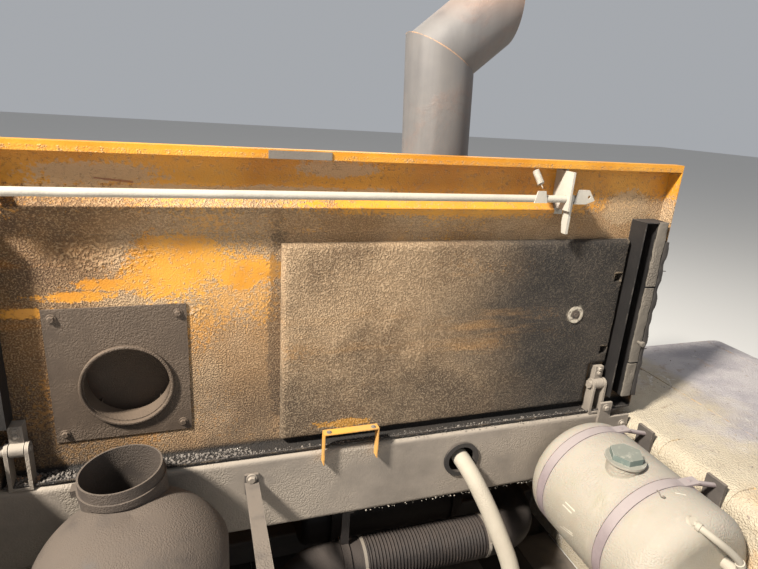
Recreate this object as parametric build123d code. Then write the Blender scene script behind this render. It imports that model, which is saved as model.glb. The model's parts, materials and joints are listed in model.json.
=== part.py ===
"""Hood section of a wheel loader: the raised side door on its centre beam, with what it covers.

Millimetres. While it is drawn, x runs to the machine's rear, y from the raised door's inner face
to the far side, and z up from the top of the centre beam. save() then moves every piece so that
the origin lies under the middle of the section, on the ground.
"""
from build123d import *
import os
from math import cos, sin, radians, sqrt

# Sheet and the play between pieces
SHEET = 3
PLAY = 0.3

# Frames that carry the section
FLOOR_DROP = 750
SECTION_FRONT = -560
BULKHEAD_DEPTH = 80
BULKHEAD_SHEET = 6
BULKHEAD_RIM = 70
RIB_THICK = 8
NEAR_REACH = 740
FAR_REACH = 430
HOOD_TOP = 133
SILL_WIDTH = 80
SILL_HEIGHT = 100
TUBE_WALL = 5
CORNER_R = 10
FOOT_WIDTH = 220
FOOT_THICK = 12
FOOT_REACH = 160
FOOT_BOLT_INSET = 150
FOOT_BOLT_R = 9
FOOT_BOLT_PITCH = 90

# Cooler box at the rear
BOX_OVERLAP = 7
BOX_LENGTH = 1150
BOX_TOP = -30
BOX_SHOULDER = 50
BOX_REAR_R = 240
HOOD_FLANGE = 60
SEAM_INSETS = (340, 890)
SEAM_WIDTH = 5
SPLIT_PLACES = (-202, -444)
SPLIT_REACH = 92
SPLIT_DROP = 40
SCREEN_INSET = 150
SCREEN_LOW = 110
SCREEN_HIGH = 150
SCREEN_DEPTH = 25
BLADE_PITCH = 45
BLADE_THICK = 4
BLADE_TILT = 35
GRILLE_DEPTH = 60
GRILLE_RIM = 70
SLAT_PITCH = 50
SLAT_THICK = 8

# Centre beam
BEAM_NEAR = -50
BEAM_WIDTH = 200
BEAM_HEIGHT = 230
BEAM_SHORTFALL = 80
BEAM_CORNER = 16
HOLE_X = 740
HOLE_Z = -95
HOLE_R = 50
GROMMET_BEAD = 7
PORT_Y = 104
END_PLATE_THICK = 8
END_PLATE_LAP = 45
END_PLATE_RISE = 40
END_PLATE_DROP = 110

# Raised door
DOOR_LEFT = -450
DOOR_LENGTH = 1807
DOOR_TOP = 800
DOOR_GAP = 8
LIP = 45
LIP_RETURN = 20
DOOR_EDGE_R = 14
HAT_DEPTH = 30
HAT_TOP = 690
HAT_NOSE = 664
HAT_LOW = 598
HAT_RIGHT = 950
HAT_SLANT = 16
PAD_LEFT = 197
PAD_SEAL_GAP = 8
PAD_LOW = 30
PAD_TOP = 575
PAD_THICK = 25
PAD_EDGE_R = 8
SLOT_WIDTH = 36
SLOT_HEIGHT = 26
SLOT_LEVELS = (216, 458)
WASHER_INSET = 157
WASHER_Z = 345
WASHER_R = 27

# Air duct through the door
DUCT_X = -170
DUCT_Z = 227.5
DUCT_BORE = 95
DUCT_WALL = 2.5
COLLAR_R = 105.5
COLLAR_DEPTH = 10
DUCT_PLATE_LEFT = -334
DUCT_PLATE_WIDTH = 306
DUCT_PLATE_LOW = 90
DUCT_PLATE_TOP = 430
DUCT_PLATE_THICK = 4
HEAD_R = 135
HEAD_RISE = 72
HEAD_SKIRT = 52
HEAD_RIBS = 4
HEAD_TUBE_GAP = 25
HEAD_TOP_THICK = 4
HEAD_EDGE_R = 12

# End seals on the door
SEAL_LOW = 60
SEAL_TOP = 635
SEAL_DEPTH = 60
SEAL_END_GAP = 4
RIGHT_CAVITY = 48
FOAM_WIDTH = 34
RUBBER_WIDTH = 21
LEFT_SEAL_WIDTH = 30
PEG_R = 9
PEG_Z = 252

# Hinges
PIVOT_SETBACK = 30
PIVOT_RISE = 100
HINGE_INSETS = (42, 141)
PIN_R = 8
PIN_PLAY = 0.08
EYE_R = 17
EYE_WIDTH = 30
LUG_THICK = 8
LUG_PLAY = 2
LUG_R = 20
STRAP_TOP = 160
STRAP_CLEAR = 6
NOTCH_MARGIN = 10

# Fixed half of the hood
FAR_PANEL_GAP = 20
FAR_PANEL_R = 25
FAR_PANEL_LAND = 10
STACK_PLAY = 6
SIDE_PANEL_INSET = 11
LOUVRE_ROWS = (-520, -430, -340, -250, -160)
LOUVRE_COLUMNS = 3
LOUVRE_LENGTH = 420
LOUVRE_HEIGHT = 34
LOUVRE_RISE = 8

# Guard under the engine bay
GUARD_PLATE_LEFT = -310
GUARD_PLATE_RIGHT = 1180
GUARD_PLATE_GAP = 2
EXHAUST_CUT = 90
PORT_CUT = 45

# Latch
ROD_R = 9.75
ROD_Z = 700
ROD_STANDOFF = 55
ROD_LEFT = -403
ROD_RIGHT = 1006
GUIDE_X = -389
GUIDE_THICK = 6
GUIDE_R = 22
GUIDE_PLAY = 0.4
BRACKET_X = 954
BRACKET_WIDTH = 36
BRACKET_TOP = 784
BRACKET_LOW = 650
TONGUE_THICK = 4
TONGUE_TOP = 727
TONGUE_LOW = 688
TONGUE_REACH = 38
LEVER_X = 965.5
LEVER_THICK = 8
LEVER_DROP = 95
LEVER_WIDTH = 26
ANCHOR_X = 852
ANCHOR_WIDTH = 40
ANCHOR_RISE = 22
ANCHOR_TAPER = 8
TONGUE_HOLE_R = 4.5
BRACKET_SLOT = (10, 22)
HANDLE_WIDTH = 130
HANDLE_HEIGHT = 100
HANDLE_RIM = 5
PADDLE_RISE = 13
SPRING_R = 9
SPRING_WALL = 2
SPRING_TOP = 779
SPRING_SET = 10.5
GRIP_LEFT = 160
GRIP_WIDTH = 145

# Near side rail and what ties it
RAIL_WIDTH = 60
RAIL_HEIGHT = 60
RAIL_TOP = -70
STRIKER_RISE = 74
STRIKER_THICK = 8
STRIKER_WIDTH = 60
BRACE_X = 116
BRACE_WIDTH = 36
BRACE_THICK = 8
BRACE_TAB = 60
GUARD_LEFT = 305
GUARD_WIDTH = 155
GUARD_BAR = 3
GUARD_DEPTH = 25
GUARD_TOP = 65
GUARD_DROP = 30

# Air cleaner
CLEANER_X = -150
CLEANER_Y = -262
CLEANER_R = 195
CLEANER_SHOULDER = -40
CLEANER_CROWN = 55
CLEANER_LENGTH = 560
CLEANER_WALL = 4
NECK_R = 88.5
NECK_WALL = 4
NECK_RIM = 104
NECK_FLARE = 6
NECK_LEAN = 4.8
CLAMP_HEIGHT = 16
CLAMP_THICK = 3
CLAMP_LIFT = 8
CLAMP_SCREW = 14
BAND_HEIGHT = 50
BAND_THICK = 4
BAND_DROP = 180
COVER_HOLE_R = 88
COVER_SEAM = 150
COVER_BAND = 22
COVER_CLIPS = 4
CLIP_WIDTH = 26
CLIP_DEPTH = 12
CLIP_REACH = 60

# Coolant tank
TANK_WALL_GAP = 6
TANK_Z = -178
TANK_R = 184
TANK_FAR = -62
TANK_LENGTH = 500
TANK_DOME = 60
STRAP_WIDTH = 30
STRAP_THICK = 3
GROOVE_DEPTH = 3
GROOVE_PLAY = 2
STRAP_PLACES = (-143, -402)
EAR_DEPTH = 60
EAR_THICK = 6
EAR_BOLT_R = 7
EAR_OUT = 0.25
EAR_UP = 0.96
CRADLE_WIDTH = 60
CRADLE_THICK = 10
TAB_TOP = -14
TAB_BOLT_DROP = 22
CAP_OFFSET = -52
CAP_Y = -303
FILLER_R = 46
FILLER_RISE = 12
CAP_FLANGE_R = 54
CAP_FLANGE_THICK = 6
CAP_HEX = 78
CAP_HEIGHT = 24
OUTLET_R = 16
OUTLET_WALL = 3
OUTLET_DROP = 60
OUTLET_REACH = 70
OUTLET_RUN = 110

# Coolant hose from the beam to the lower cross member
HOSE_R = 26
HOSE_WALL = 4
STUB_LENGTH = 60
STUB_WALL = 2
STUB_BEND = 30
PORT_DROP = 30
HOSE_BENDS = ((745, -90, -98), (792, -165, -205), (838, -252, -350), (850, -275, -480))
HOSE_END = -610
HOSE_START = 60

# Exhaust
PIPE_R = 68
PIPE_WALL = 2
PIPE_Z = -460
PIPE_LEFT = 240
PIPE_BEND = 105
PIPE_FOOT = -640
BELLOWS_LEFT = 470
BELLOWS_LENGTH = 400
BELLOWS_WAVES = 14
BELLOWS_DEPTH = 9
CUFF_LENGTH = 22
BEND_X = 930
MUFFLER_Y = 280
MUFFLER_LEFT = 300
MUFFLER_LENGTH = 600
MUFFLER_R = 125
MUFFLER_EDGE = 25
HANGER_THICK = 8
HANGER_RIM = 12
HANGER_PLACES = (400, 850)
PIPE_HANGER_X = 400
STACK_X = 735
STACK_R = 101.5
STACK_WALL = 2.5
STACK_LEAN = 2.5
RISER_R = 70
MITRE_Z = 1060
MITRE_DROP = 118
ELBOW_ANGLE = 52
ELBOW_LENGTH = 235
FLANGE_R = 124
FLANGE_THICK = 6
MITRE_REACH = 400
OUTLET_SHARE = 2.02

# Tongues: rod end, side that it points to, length that lies back along the rod
TONGUES = ((ROD_RIGHT, 1, 30), (ROD_LEFT, -1, 8))

# Sizes worked out from those above
DOOR_RIGHT = DOOR_LEFT + DOOR_LENGTH
BULKHEAD_REAR = SECTION_FRONT + BULKHEAD_DEPTH
BOX_WALL = DOOR_RIGHT - BOX_OVERLAP
BOX_REAR = BOX_WALL + BOX_LENGTH
BEAM_RIGHT = BOX_WALL - BEAM_SHORTFALL
HINGE_PLACES = (DOOR_LEFT + HINGE_INSETS[0], DOOR_RIGHT - HINGE_INSETS[1])
FOAM_RIGHT = DOOR_RIGHT - SEAL_END_GAP - RUBBER_WIDTH
RIGHT_SEAL_X = FOAM_RIGHT - FOAM_WIDTH - RIGHT_CAVITY
PAD_RIGHT = RIGHT_SEAL_X - PAD_SEAL_GAP
WASHER_X = PAD_RIGHT - WASHER_INSET
TANK_X = BOX_WALL - TANK_WALL_GAP - TANK_R
CAP_X = TANK_X + CAP_OFFSET
BEAM_FAR = BEAM_NEAR + BEAM_WIDTH
PIVOT_Y = -PIVOT_SETBACK
PIVOT_Z = PIVOT_RISE
ROD_Y = -ROD_STANDOFF
TANK_NEAR = TANK_FAR - TANK_LENGTH
CLOSED_TOP = PIVOT_RISE + PIVOT_SETBACK + SHEET
FAR_PANEL_EDGE = PIVOT_RISE - PIVOT_SETBACK + FAR_PANEL_GAP
FAR_PANEL_RIGHT = BOX_WALL + BOX_SHOULDER + FAR_PANEL_LAND
CLEANER_FOOT = CLEANER_SHOULDER - CLEANER_LENGTH
COVER_JOINT = CLEANER_SHOULDER - COVER_SEAM
GROUND = -FLOOR_DROP
SILL_TOP = GROUND + FOOT_THICK + SILL_HEIGHT


def slab(xs, ys, zs):
    """A box between two values along each axis."""
    middle = ((xs[0] + xs[1]) / 2, (ys[0] + ys[1]) / 2, (zs[0] + zs[1]) / 2)
    return Pos(*middle) * Box(xs[1] - xs[0], ys[1] - ys[0], zs[1] - zs[0])


def bar_x(r, xs, y, z):
    return Pos((xs[0] + xs[1]) / 2, y, z) * Rot(0, 90, 0) * Cylinder(r, xs[1] - xs[0])


def bar_y(r, x, ys, z):
    return Pos(x, (ys[0] + ys[1]) / 2, z) * Rot(90, 0, 0) * Cylinder(r, ys[1] - ys[0])


def bar_z(r, x, y, zs):
    return Pos(x, y, (zs[0] + zs[1]) / 2) * Cylinder(r, zs[1] - zs[0])


def bar_between(r, start, end):
    axis = end - start
    return extrude(Plane(start, z_dir=axis) * Circle(r), axis.length)


def prism_x(points, xs):
    """A prism along x, from (y, z) points."""
    return extrude(Plane.YZ.offset(xs[0]) * Polygon(*points, align=None), xs[1] - xs[0], dir=(1, 0, 0))


def prism_y(points, ys):
    """A prism along y, from (x, z) points."""
    return extrude(Plane.XZ.offset(-ys[0]) * Polygon(*points, align=None), ys[1] - ys[0], dir=(0, 1, 0))


def box_tube(xs, ys, zs, wall, corner):
    """A rectangular tube along x, open at its ends."""
    place = Plane.YZ.offset(xs[0]) * Pos((ys[0] + ys[1]) / 2, (zs[0] + zs[1]) / 2)
    wide = ys[1] - ys[0]
    high = zs[1] - zs[0]
    outer = RectangleRounded(wide, high, corner)
    inner = RectangleRounded(wide - 2 * wall, high - 2 * wall, max(corner - wall, 1))
    return extrude(place * (outer - inner), xs[1] - xs[0])


def swept_tube(points, radii, r, wall):
    """A round tube along straight runs joined by tangent arcs."""
    path = FilletPolyline(*points, radius=radii)
    start = Plane(path @ 0, z_dir=path % 0)
    return sweep(start * (Circle(r) - Circle(r - wall)), path=path)


def corner_radius(before, corner, after, share):
    """The largest arc that a share of the shorter run leaves room for."""
    back = Vector(*corner) - Vector(*before)
    on = Vector(*after) - Vector(*corner)
    return share * min(back.length, on.length) / abs(sin(radians(back.get_angle(on)) / 2)
                                                     / cos(radians(back.get_angle(on)) / 2))


# Frames

def bulkhead():
    ys = (-NEAR_REACH, FAR_REACH)
    body = slab((SECTION_FRONT, BULKHEAD_REAR), ys, (GROUND + FOOT_THICK, HOOD_TOP))
    body = fillet(body.edges().filter_by(Axis.X).sort_by(Axis.Z)[-2:], BULKHEAD_RIM)
    middle = (ys[0] + ys[1]) / 2
    for low, high in ((ys[0] + BULKHEAD_RIM, middle - RIB_THICK), (middle + RIB_THICK, ys[1] - BULKHEAD_RIM)):
        body -= slab((SECTION_FRONT - 1, BULKHEAD_REAR - BULKHEAD_SHEET), (low, high),
                     (GROUND + FOOT_THICK + BULKHEAD_RIM, HOOD_TOP - BULKHEAD_RIM))
    return body


def sill_rails():
    rails = []
    for outer, side in ((-NEAR_REACH, 1), (FAR_REACH, -1)):
        ys = sorted((outer, outer + side * SILL_WIDTH))
        rails.append(box_tube((BULKHEAD_REAR, BOX_WALL), ys, (GROUND + FOOT_THICK, SILL_TOP),
                              TUBE_WALL, CORNER_R))
    return rails


def cross_members():
    ys = (-NEAR_REACH + SILL_WIDTH, FAR_REACH - SILL_WIDTH)
    bars = []
    for x in (CLEANER_X, HOSE_BENDS[-1][0]):
        bar = slab((x - SILL_WIDTH, x + SILL_WIDTH), ys, (GROUND + FOOT_THICK, SILL_TOP))
        bar -= slab((x - SILL_WIDTH + TUBE_WALL, x + SILL_WIDTH - TUBE_WALL), (ys[0] - 1, ys[1] + 1),
                    (GROUND + FOOT_THICK - 1, SILL_TOP - TUBE_WALL))
        bars.append(bar)
    return bars


def feet():
    """Foot plates under the frames, drilled where they stand clear of them."""
    plates = []
    for xs, bolt_x in (((SECTION_FRONT, BULKHEAD_REAR + FOOT_REACH), BULKHEAD_REAR + FOOT_REACH / 2),
                       ((BOX_WALL - FOOT_REACH, BOX_REAR), BOX_WALL - FOOT_REACH / 2)):
        for outer, side in ((-NEAR_REACH, 1), (FAR_REACH, -1)):
            ys = sorted((outer, outer + side * FOOT_WIDTH))
            plate = slab(xs, ys, (GROUND, GROUND + FOOT_THICK))
            for dx in (-FOOT_BOLT_PITCH / 2, FOOT_BOLT_PITCH / 2):
                for dy in (-FOOT_BOLT_PITCH / 2, FOOT_BOLT_PITCH / 2):
                    plate -= bar_z(FOOT_BOLT_R, bolt_x + dx, outer + side * FOOT_BOLT_INSET + dy,
                                   (GROUND - 1, GROUND + FOOT_THICK + 1))
            plates.append(plate)
    return plates


def box_form(inset):
    """The cooler box's outer form, rounded along its front and rear top edges."""
    form = slab((BOX_WALL + inset, BOX_REAR - inset), (-NEAR_REACH, FAR_REACH), (GROUND + FOOT_THICK, BOX_TOP - inset))
    front = form.edges().filter_by(Axis.Y).group_by(Axis.Z)[-1].sort_by(Axis.X)[0]
    form = fillet(front, BOX_SHOULDER - inset)
    rear = form.edges().filter_by(Axis.Y).sort_by(lambda edge: edge.center().X + edge.center().Z)[-1]
    return fillet(rear, BOX_REAR_R - inset)


def screen_span():
    """Where the louvred screens stand in the box's sides: along x, and up."""
    return ((BOX_WALL + SCREEN_INSET, BOX_REAR - 2 * SCREEN_INSET),
            (GROUND + FOOT_THICK + SCREEN_LOW, BOX_TOP - SCREEN_HIGH))


def cooler_box():
    """The box under its hood sheet; its front face stands out as far as the sheet's flange."""
    ys = (-NEAR_REACH, FAR_REACH)
    body = box_form(SHEET)
    body += slab((BOX_WALL, BOX_WALL + 2 * SHEET), ys, (GROUND + FOOT_THICK, BOX_TOP - BOX_SHOULDER - HOOD_FLANGE))
    body += slab((BOX_REAR - 2 * SHEET, BOX_REAR), ys, (GROUND + FOOT_THICK, BOX_TOP - BOX_REAR_R - HOOD_FLANGE))
    body -= slab((BOX_REAR - GRILLE_DEPTH, BOX_REAR + 1), (ys[0] + GRILLE_RIM, ys[1] - GRILLE_RIM),
                 (GROUND + FOOT_THICK + GRILLE_RIM, BOX_TOP - GRILLE_RIM - BOX_REAR_R))
    xs, zs = screen_span()
    for outer, side in ((-NEAR_REACH, 1), (FAR_REACH, -1)):
        body -= slab(xs, sorted((outer - side, outer + side * SCREEN_DEPTH)), zs)
    return body


def box_hood():
    """Sheet over the cooler box in three lengths, its front one split twice over the shoulder."""
    ys = (-NEAR_REACH, FAR_REACH)
    sheet = box_form(0) - box_form(SHEET)
    front = BOX_TOP - BOX_SHOULDER - HOOD_FLANGE
    rear = BOX_TOP - BOX_REAR_R - HOOD_FLANGE
    middle = BOX_WALL + BOX_LENGTH / 2
    sheet -= slab((BOX_WALL - 1, middle), (ys[0] - 1, ys[1] + 1), (GROUND, front))
    sheet -= slab((middle, BOX_REAR + 1), (ys[0] - 1, ys[1] + 1), (GROUND, rear))
    for inset in SEAM_INSETS:
        x = BOX_WALL + inset
        sheet -= slab((x - SEAM_WIDTH / 2, x + SEAM_WIDTH / 2), (ys[0] - 1, ys[1] + 1), (GROUND, 0))
    for y in SPLIT_PLACES:
        sheet -= slab((BOX_WALL - 1, BOX_WALL + SPLIT_REACH), (y - SEAM_WIDTH / 2, y + SEAM_WIDTH / 2),
                      (BOX_TOP - SPLIT_DROP, 0))
    return list(sheet.solids())


def side_screens():
    """Tilted blades between two posts, in the recess of each side."""
    screens = []
    (left, right), (low, high) = screen_span()
    for outer, side in ((-NEAR_REACH, 1), (FAR_REACH, -1)):
        ys = sorted((outer, outer + side * (SCREEN_DEPTH - PLAY)))
        middle = (ys[0] + ys[1]) / 2
        screen = slab((left + PLAY, left + SCREEN_DEPTH), ys, (low + PLAY, high - PLAY))
        screen += slab((right - SCREEN_DEPTH, right - PLAY), ys, (low + PLAY, high - PLAY))
        count = int((high - low - BLADE_PITCH) / BLADE_PITCH)
        for i in range(count):
            z = (low + high) / 2 + (i - (count - 1) / 2) * BLADE_PITCH
            blade = Rot(side * BLADE_TILT, 0, 0) * Box(right - left - SCREEN_DEPTH, BLADE_THICK, BLADE_PITCH * 0.6)
            screen += Pos((left + right) / 2, middle, z) * blade
        screens.append(screen)
    return screens


def rear_grille():
    """Upright slats in the recess, on a rail at the top and at the foot."""
    low = GROUND + FOOT_THICK + GRILLE_RIM
    high = BOX_TOP - GRILLE_RIM - BOX_REAR_R
    ys = (-NEAR_REACH + GRILLE_RIM, FAR_REACH - GRILLE_RIM)
    xs = (BOX_REAR - GRILLE_DEPTH, BOX_REAR - GRILLE_DEPTH / 3)
    grille = slab(xs, ys, (low, low + SLAT_PITCH / 2)) + slab(xs, ys, (high - SLAT_PITCH / 2, high))
    count = int((ys[1] - ys[0]) / SLAT_PITCH)
    for i in range(count):
        y = (ys[0] + ys[1]) / 2 + (i - (count - 1) / 2) * SLAT_PITCH
        grille += slab(xs, (y - SLAT_THICK / 2, y + SLAT_THICK / 2), (low, high))
    return grille


# Centre beam

def centre_beam():
    beam = box_tube((BULKHEAD_REAR, BEAM_RIGHT), (BEAM_NEAR, BEAM_FAR), (-BEAM_HEIGHT, 0),
                    TUBE_WALL, BEAM_CORNER)
    beam -= bar_y(HOLE_R, HOLE_X, (BEAM_NEAR - 1, BEAM_NEAR + BEAM_CORNER), HOLE_Z)
    stub_r = HOSE_R - HOSE_WALL - PLAY
    return beam - bar_z(stub_r, HOLE_X, PORT_Y, (-BEAM_HEIGHT - 1, -BEAM_HEIGHT + TUBE_WALL + 1))


def beam_grommet():
    ring = bar_y(HOLE_R + GROMMET_BEAD, HOLE_X, (BEAM_NEAR - GROMMET_BEAD, BEAM_NEAR), HOLE_Z)
    ring += bar_y(HOLE_R - PLAY, HOLE_X, (BEAM_NEAR - GROMMET_BEAD, BEAM_NEAR + TUBE_WALL), HOLE_Z)
    return ring - bar_y(HOLE_R - GROMMET_BEAD, HOLE_X, (BEAM_NEAR - 20, BEAM_NEAR + 20), HOLE_Z)


def beam_end_plate():
    """Ties the beam to the cooler box and stands up beside the door's end."""
    face = (BEAM_NEAR - END_PLATE_THICK, BEAM_NEAR)
    plate = slab((BEAM_RIGHT - END_PLATE_LAP, BOX_WALL), face, (-END_PLATE_DROP, -BEAM_CORNER))
    plate += slab((BEAM_RIGHT - END_PLATE_LAP, BEAM_RIGHT), face, (-END_PLATE_DROP, END_PLATE_RISE))
    plate += slab((BOX_WALL - END_PLATE_THICK, BOX_WALL), (BEAM_NEAR, BEAM_FAR),
                  (-BEAM_HEIGHT, BOX_TOP - BOX_SHOULDER))
    return plate + slab((BEAM_RIGHT, BOX_WALL - END_PLATE_THICK), (BEAM_NEAR, BEAM_FAR),
                        (-BEAM_HEIGHT, -BEAM_HEIGHT + END_PLATE_THICK))


def near_side_rail():
    return box_tube((BULKHEAD_REAR, BOX_WALL), (-NEAR_REACH, -NEAR_REACH + RAIL_WIDTH),
                    (RAIL_TOP - RAIL_HEIGHT, RAIL_TOP), TUBE_WALL, CORNER_R)


def strikers():
    """Catch plates on the rail, short of the latch tongues."""
    plates = []
    for x in (ROD_LEFT - TONGUE_REACH / 2, ROD_RIGHT + TONGUE_REACH / 2):
        xs = (x - STRIKER_WIDTH / 2, x + STRIKER_WIDTH / 2)
        y = -NEAR_REACH + RAIL_WIDTH / 2
        plate = slab(xs, (y, y + STRIKER_THICK), (RAIL_TOP, RAIL_TOP + STRIKER_RISE))
        plates.append(plate + slab(xs, (y, y + RAIL_WIDTH / 2), (RAIL_TOP, RAIL_TOP + STRIKER_THICK)))
    return plates


def brace_bar():
    xs = (BRACE_X - BRACE_WIDTH / 2, BRACE_X + BRACE_WIDTH / 2)
    bar = slab(xs, (-NEAR_REACH + CORNER_R, BEAM_NEAR), (RAIL_TOP, RAIL_TOP + BRACE_THICK))
    return bar + slab(xs, (BEAM_NEAR - BRACE_THICK, BEAM_NEAR), (RAIL_TOP - BRACE_TAB / 2, RAIL_TOP + BRACE_TAB / 2))


def guard_bracket():
    """Staple on the beam's near top edge."""
    ys = (BEAM_NEAR - GUARD_BAR, BEAM_NEAR)
    xs = (GUARD_LEFT, GUARD_LEFT + GUARD_WIDTH)
    staple = slab(xs, (BEAM_NEAR - GUARD_DEPTH, BEAM_NEAR), (GUARD_TOP - GUARD_BAR, GUARD_TOP))
    for x in (xs[0], xs[1] - GUARD_BAR):
        staple += slab((x, x + GUARD_BAR), (BEAM_NEAR - GUARD_DEPTH, BEAM_NEAR), (-GUARD_DROP, GUARD_TOP))
    return staple


# Fixed half of the hood

def far_panel():
    right = FAR_PANEL_RIGHT
    top = slab((BULKHEAD_REAR, right), (FAR_PANEL_EDGE, FAR_REACH), (0, CLOSED_TOP))
    top = fillet(top.edges().filter_by(Axis.X).group_by(Axis.Z)[-1].sort_by(Axis.Y)[-1:], FAR_PANEL_R)
    hollow = slab((BULKHEAD_REAR - 1, right - SHEET), (FAR_PANEL_EDGE + SHEET, FAR_REACH - SHEET),
                  (-1, CLOSED_TOP - SHEET))
    hollow = fillet(hollow.edges().filter_by(Axis.X).group_by(Axis.Z)[-1].sort_by(Axis.Y)[-1:], FAR_PANEL_R - SHEET)
    panel = top - hollow
    foot = slab((BOX_WALL + BOX_SHOULDER, right), (FAR_PANEL_EDGE, FAR_REACH), (BOX_TOP, 0))
    foot -= slab((BOX_WALL, right - SHEET), (FAR_PANEL_EDGE - 1, FAR_REACH + 1), (BOX_TOP - 1, 1))
    panel += foot
    return panel - bar_z(STACK_R + STACK_PLAY, STACK_X, MUFFLER_Y, (CLOSED_TOP / 2, 2 * CLOSED_TOP))


def side_panel():
    """Closes the far side from the sill up to the fixed half, with pressed louvres."""
    ys = (FAR_REACH - SIDE_PANEL_INSET, FAR_REACH - LOUVRE_RISE)
    panel = slab((BULKHEAD_REAR, BOX_WALL), ys, (SILL_TOP, 0))
    pitch = (BOX_WALL - BULKHEAD_REAR) / LOUVRE_COLUMNS
    for i in range(LOUVRE_COLUMNS):
        x = BULKHEAD_REAR + (i + 0.5) * pitch
        for z in LOUVRE_ROWS:
            hood = ((ys[1], z - LOUVRE_HEIGHT / 2), (FAR_REACH, z - LOUVRE_HEIGHT / 2),
                    (FAR_REACH, z - LOUVRE_HEIGHT / 4), (ys[1], z + LOUVRE_HEIGHT / 2))
            panel += prism_x(hood, (x - LOUVRE_LENGTH / 2, x + LOUVRE_LENGTH / 2))
    return panel


def belly_guard():
    """Plates under the sills, which leave the exhaust inlet and the coolant port open."""
    zs = (GROUND + FOOT_THICK - SHEET, GROUND + FOOT_THICK)
    near = -NEAR_REACH + CORNER_R
    far = FAR_REACH - CORNER_R
    plates = []
    left = GUARD_PLATE_LEFT
    for x, y, half in ((PIPE_LEFT, 0, EXHAUST_CUT), (HOLE_X, PORT_Y, PORT_CUT)):
        plates.append(slab((left, x - half - GUARD_PLATE_GAP), (near, far), zs))
        plates.append(slab((x - half, x + half), (near, y - half), zs))
        plates.append(slab((x - half, x + half), (y + half, far), zs))
        left = x + half + GUARD_PLATE_GAP
    plates.append(slab((left, GUARD_PLATE_RIGHT), (near, far), zs))
    return plates


# Exhaust

def lean(piece):
    """Tips what stands on the hood towards the machine's front."""
    return Pos(STACK_X, MUFFLER_Y, CLOSED_TOP) * Rot(0, -STACK_LEAN, 0) * Pos(-STACK_X, -MUFFLER_Y, -CLOSED_TOP) * piece


def mitre_cutter():
    """Everything above the slanting joint between the stack and its outlet."""
    drop = MITRE_DROP / (2 * STACK_R)
    reach = MITRE_REACH
    corners = ((STACK_X - reach, MITRE_Z + drop * reach), (STACK_X + reach, MITRE_Z - drop * reach),
               (STACK_X + reach, MITRE_Z + 3 * reach), (STACK_X - reach, MITRE_Z + 3 * reach))
    return prism_y(corners, (MUFFLER_Y - reach, MUFFLER_Y + reach))


def stack_tube():
    zs = (CLOSED_TOP - FLANGE_THICK, MITRE_Z + MITRE_DROP)
    tube = bar_z(STACK_R, STACK_X, MUFFLER_Y, zs) - bar_z(STACK_R - STACK_WALL, STACK_X, MUFFLER_Y, zs)
    reach = 2 * STACK_R
    below = slab((STACK_X - reach, STACK_X + reach), (MUFFLER_Y - reach, MUFFLER_Y + reach),
                 (0, CLOSED_TOP + FLANGE_THICK))
    return lean(tube - mitre_cutter()) - below


def stack_outlet():
    turn = Pos(STACK_X, MUFFLER_Y, MITRE_Z) * Rot(0, ELBOW_ANGLE, 0)
    reach = ELBOW_LENGTH
    outer = turn * Pos(0, 0, reach / 2) * Cylinder(STACK_R, 3 * reach)
    inner = turn * Pos(0, 0, reach / 2) * Cylinder(STACK_R - STACK_WALL, 3 * reach + 2)
    tube = (outer - inner) & mitre_cutter()
    upright = slab((STACK_X - 2 * reach, STACK_X + OUTLET_SHARE * STACK_R),
                   (MUFFLER_Y - 2 * STACK_R, MUFFLER_Y + 2 * STACK_R), (MITRE_Z - 2 * reach, MITRE_Z + 3 * reach))
    return lean(tube & upright)


def stack_flange():
    ring = bar_z(FLANGE_R, STACK_X, MUFFLER_Y, (CLOSED_TOP, CLOSED_TOP + FLANGE_THICK))
    return ring - bar_z(RISER_R + 12, STACK_X, MUFFLER_Y, (CLOSED_TOP - 1, CLOSED_TOP + FLANGE_THICK + 1))


def muffler():
    xs = (MUFFLER_LEFT, MUFFLER_LEFT + MUFFLER_LENGTH)
    body = bar_x(MUFFLER_R, xs, MUFFLER_Y, PIPE_Z)
    body = fillet(body.edges().filter_by(GeomType.CIRCLE), MUFFLER_EDGE)
    return body - bar_z(RISER_R - PIPE_WALL, STACK_X, MUFFLER_Y, (PIPE_Z, 0))


def stack_riser():
    """Pipe from the muffler up into the wider stack."""
    foot = PIPE_Z + sqrt(MUFFLER_R ** 2 - RISER_R ** 2) - 12
    riser = bar_z(RISER_R, STACK_X, MUFFLER_Y, (foot, CLOSED_TOP + 60))
    riser -= bar_z(RISER_R - PIPE_WALL, STACK_X, MUFFLER_Y, (foot - 1, CLOSED_TOP + 61))
    return riser - bar_x(MUFFLER_R, (MUFFLER_LEFT, MUFFLER_LEFT + MUFFLER_LENGTH), MUFFLER_Y, PIPE_Z)


def exhaust_pipe():
    """Elbow up from the engine to the bellows, and the bend from the bellows into the muffler."""
    points = ((PIPE_LEFT, 0, PIPE_FOOT), (PIPE_LEFT, 0, PIPE_Z), (BELLOWS_LEFT, 0, PIPE_Z))
    inlet = swept_tube(points, PIPE_BEND, PIPE_R, PIPE_WALL)
    start = BELLOWS_LEFT + BELLOWS_LENGTH
    bend_r = MUFFLER_Y / 2
    points = ((start, 0, PIPE_Z), (BEND_X + bend_r, 0, PIPE_Z),
              (BEND_X + bend_r, MUFFLER_Y, PIPE_Z), (MUFFLER_LEFT + MUFFLER_LENGTH, MUFFLER_Y, PIPE_Z))
    bend = swept_tube(points, bend_r - 1, PIPE_R, PIPE_WALL)
    return [inlet, bend]


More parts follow.
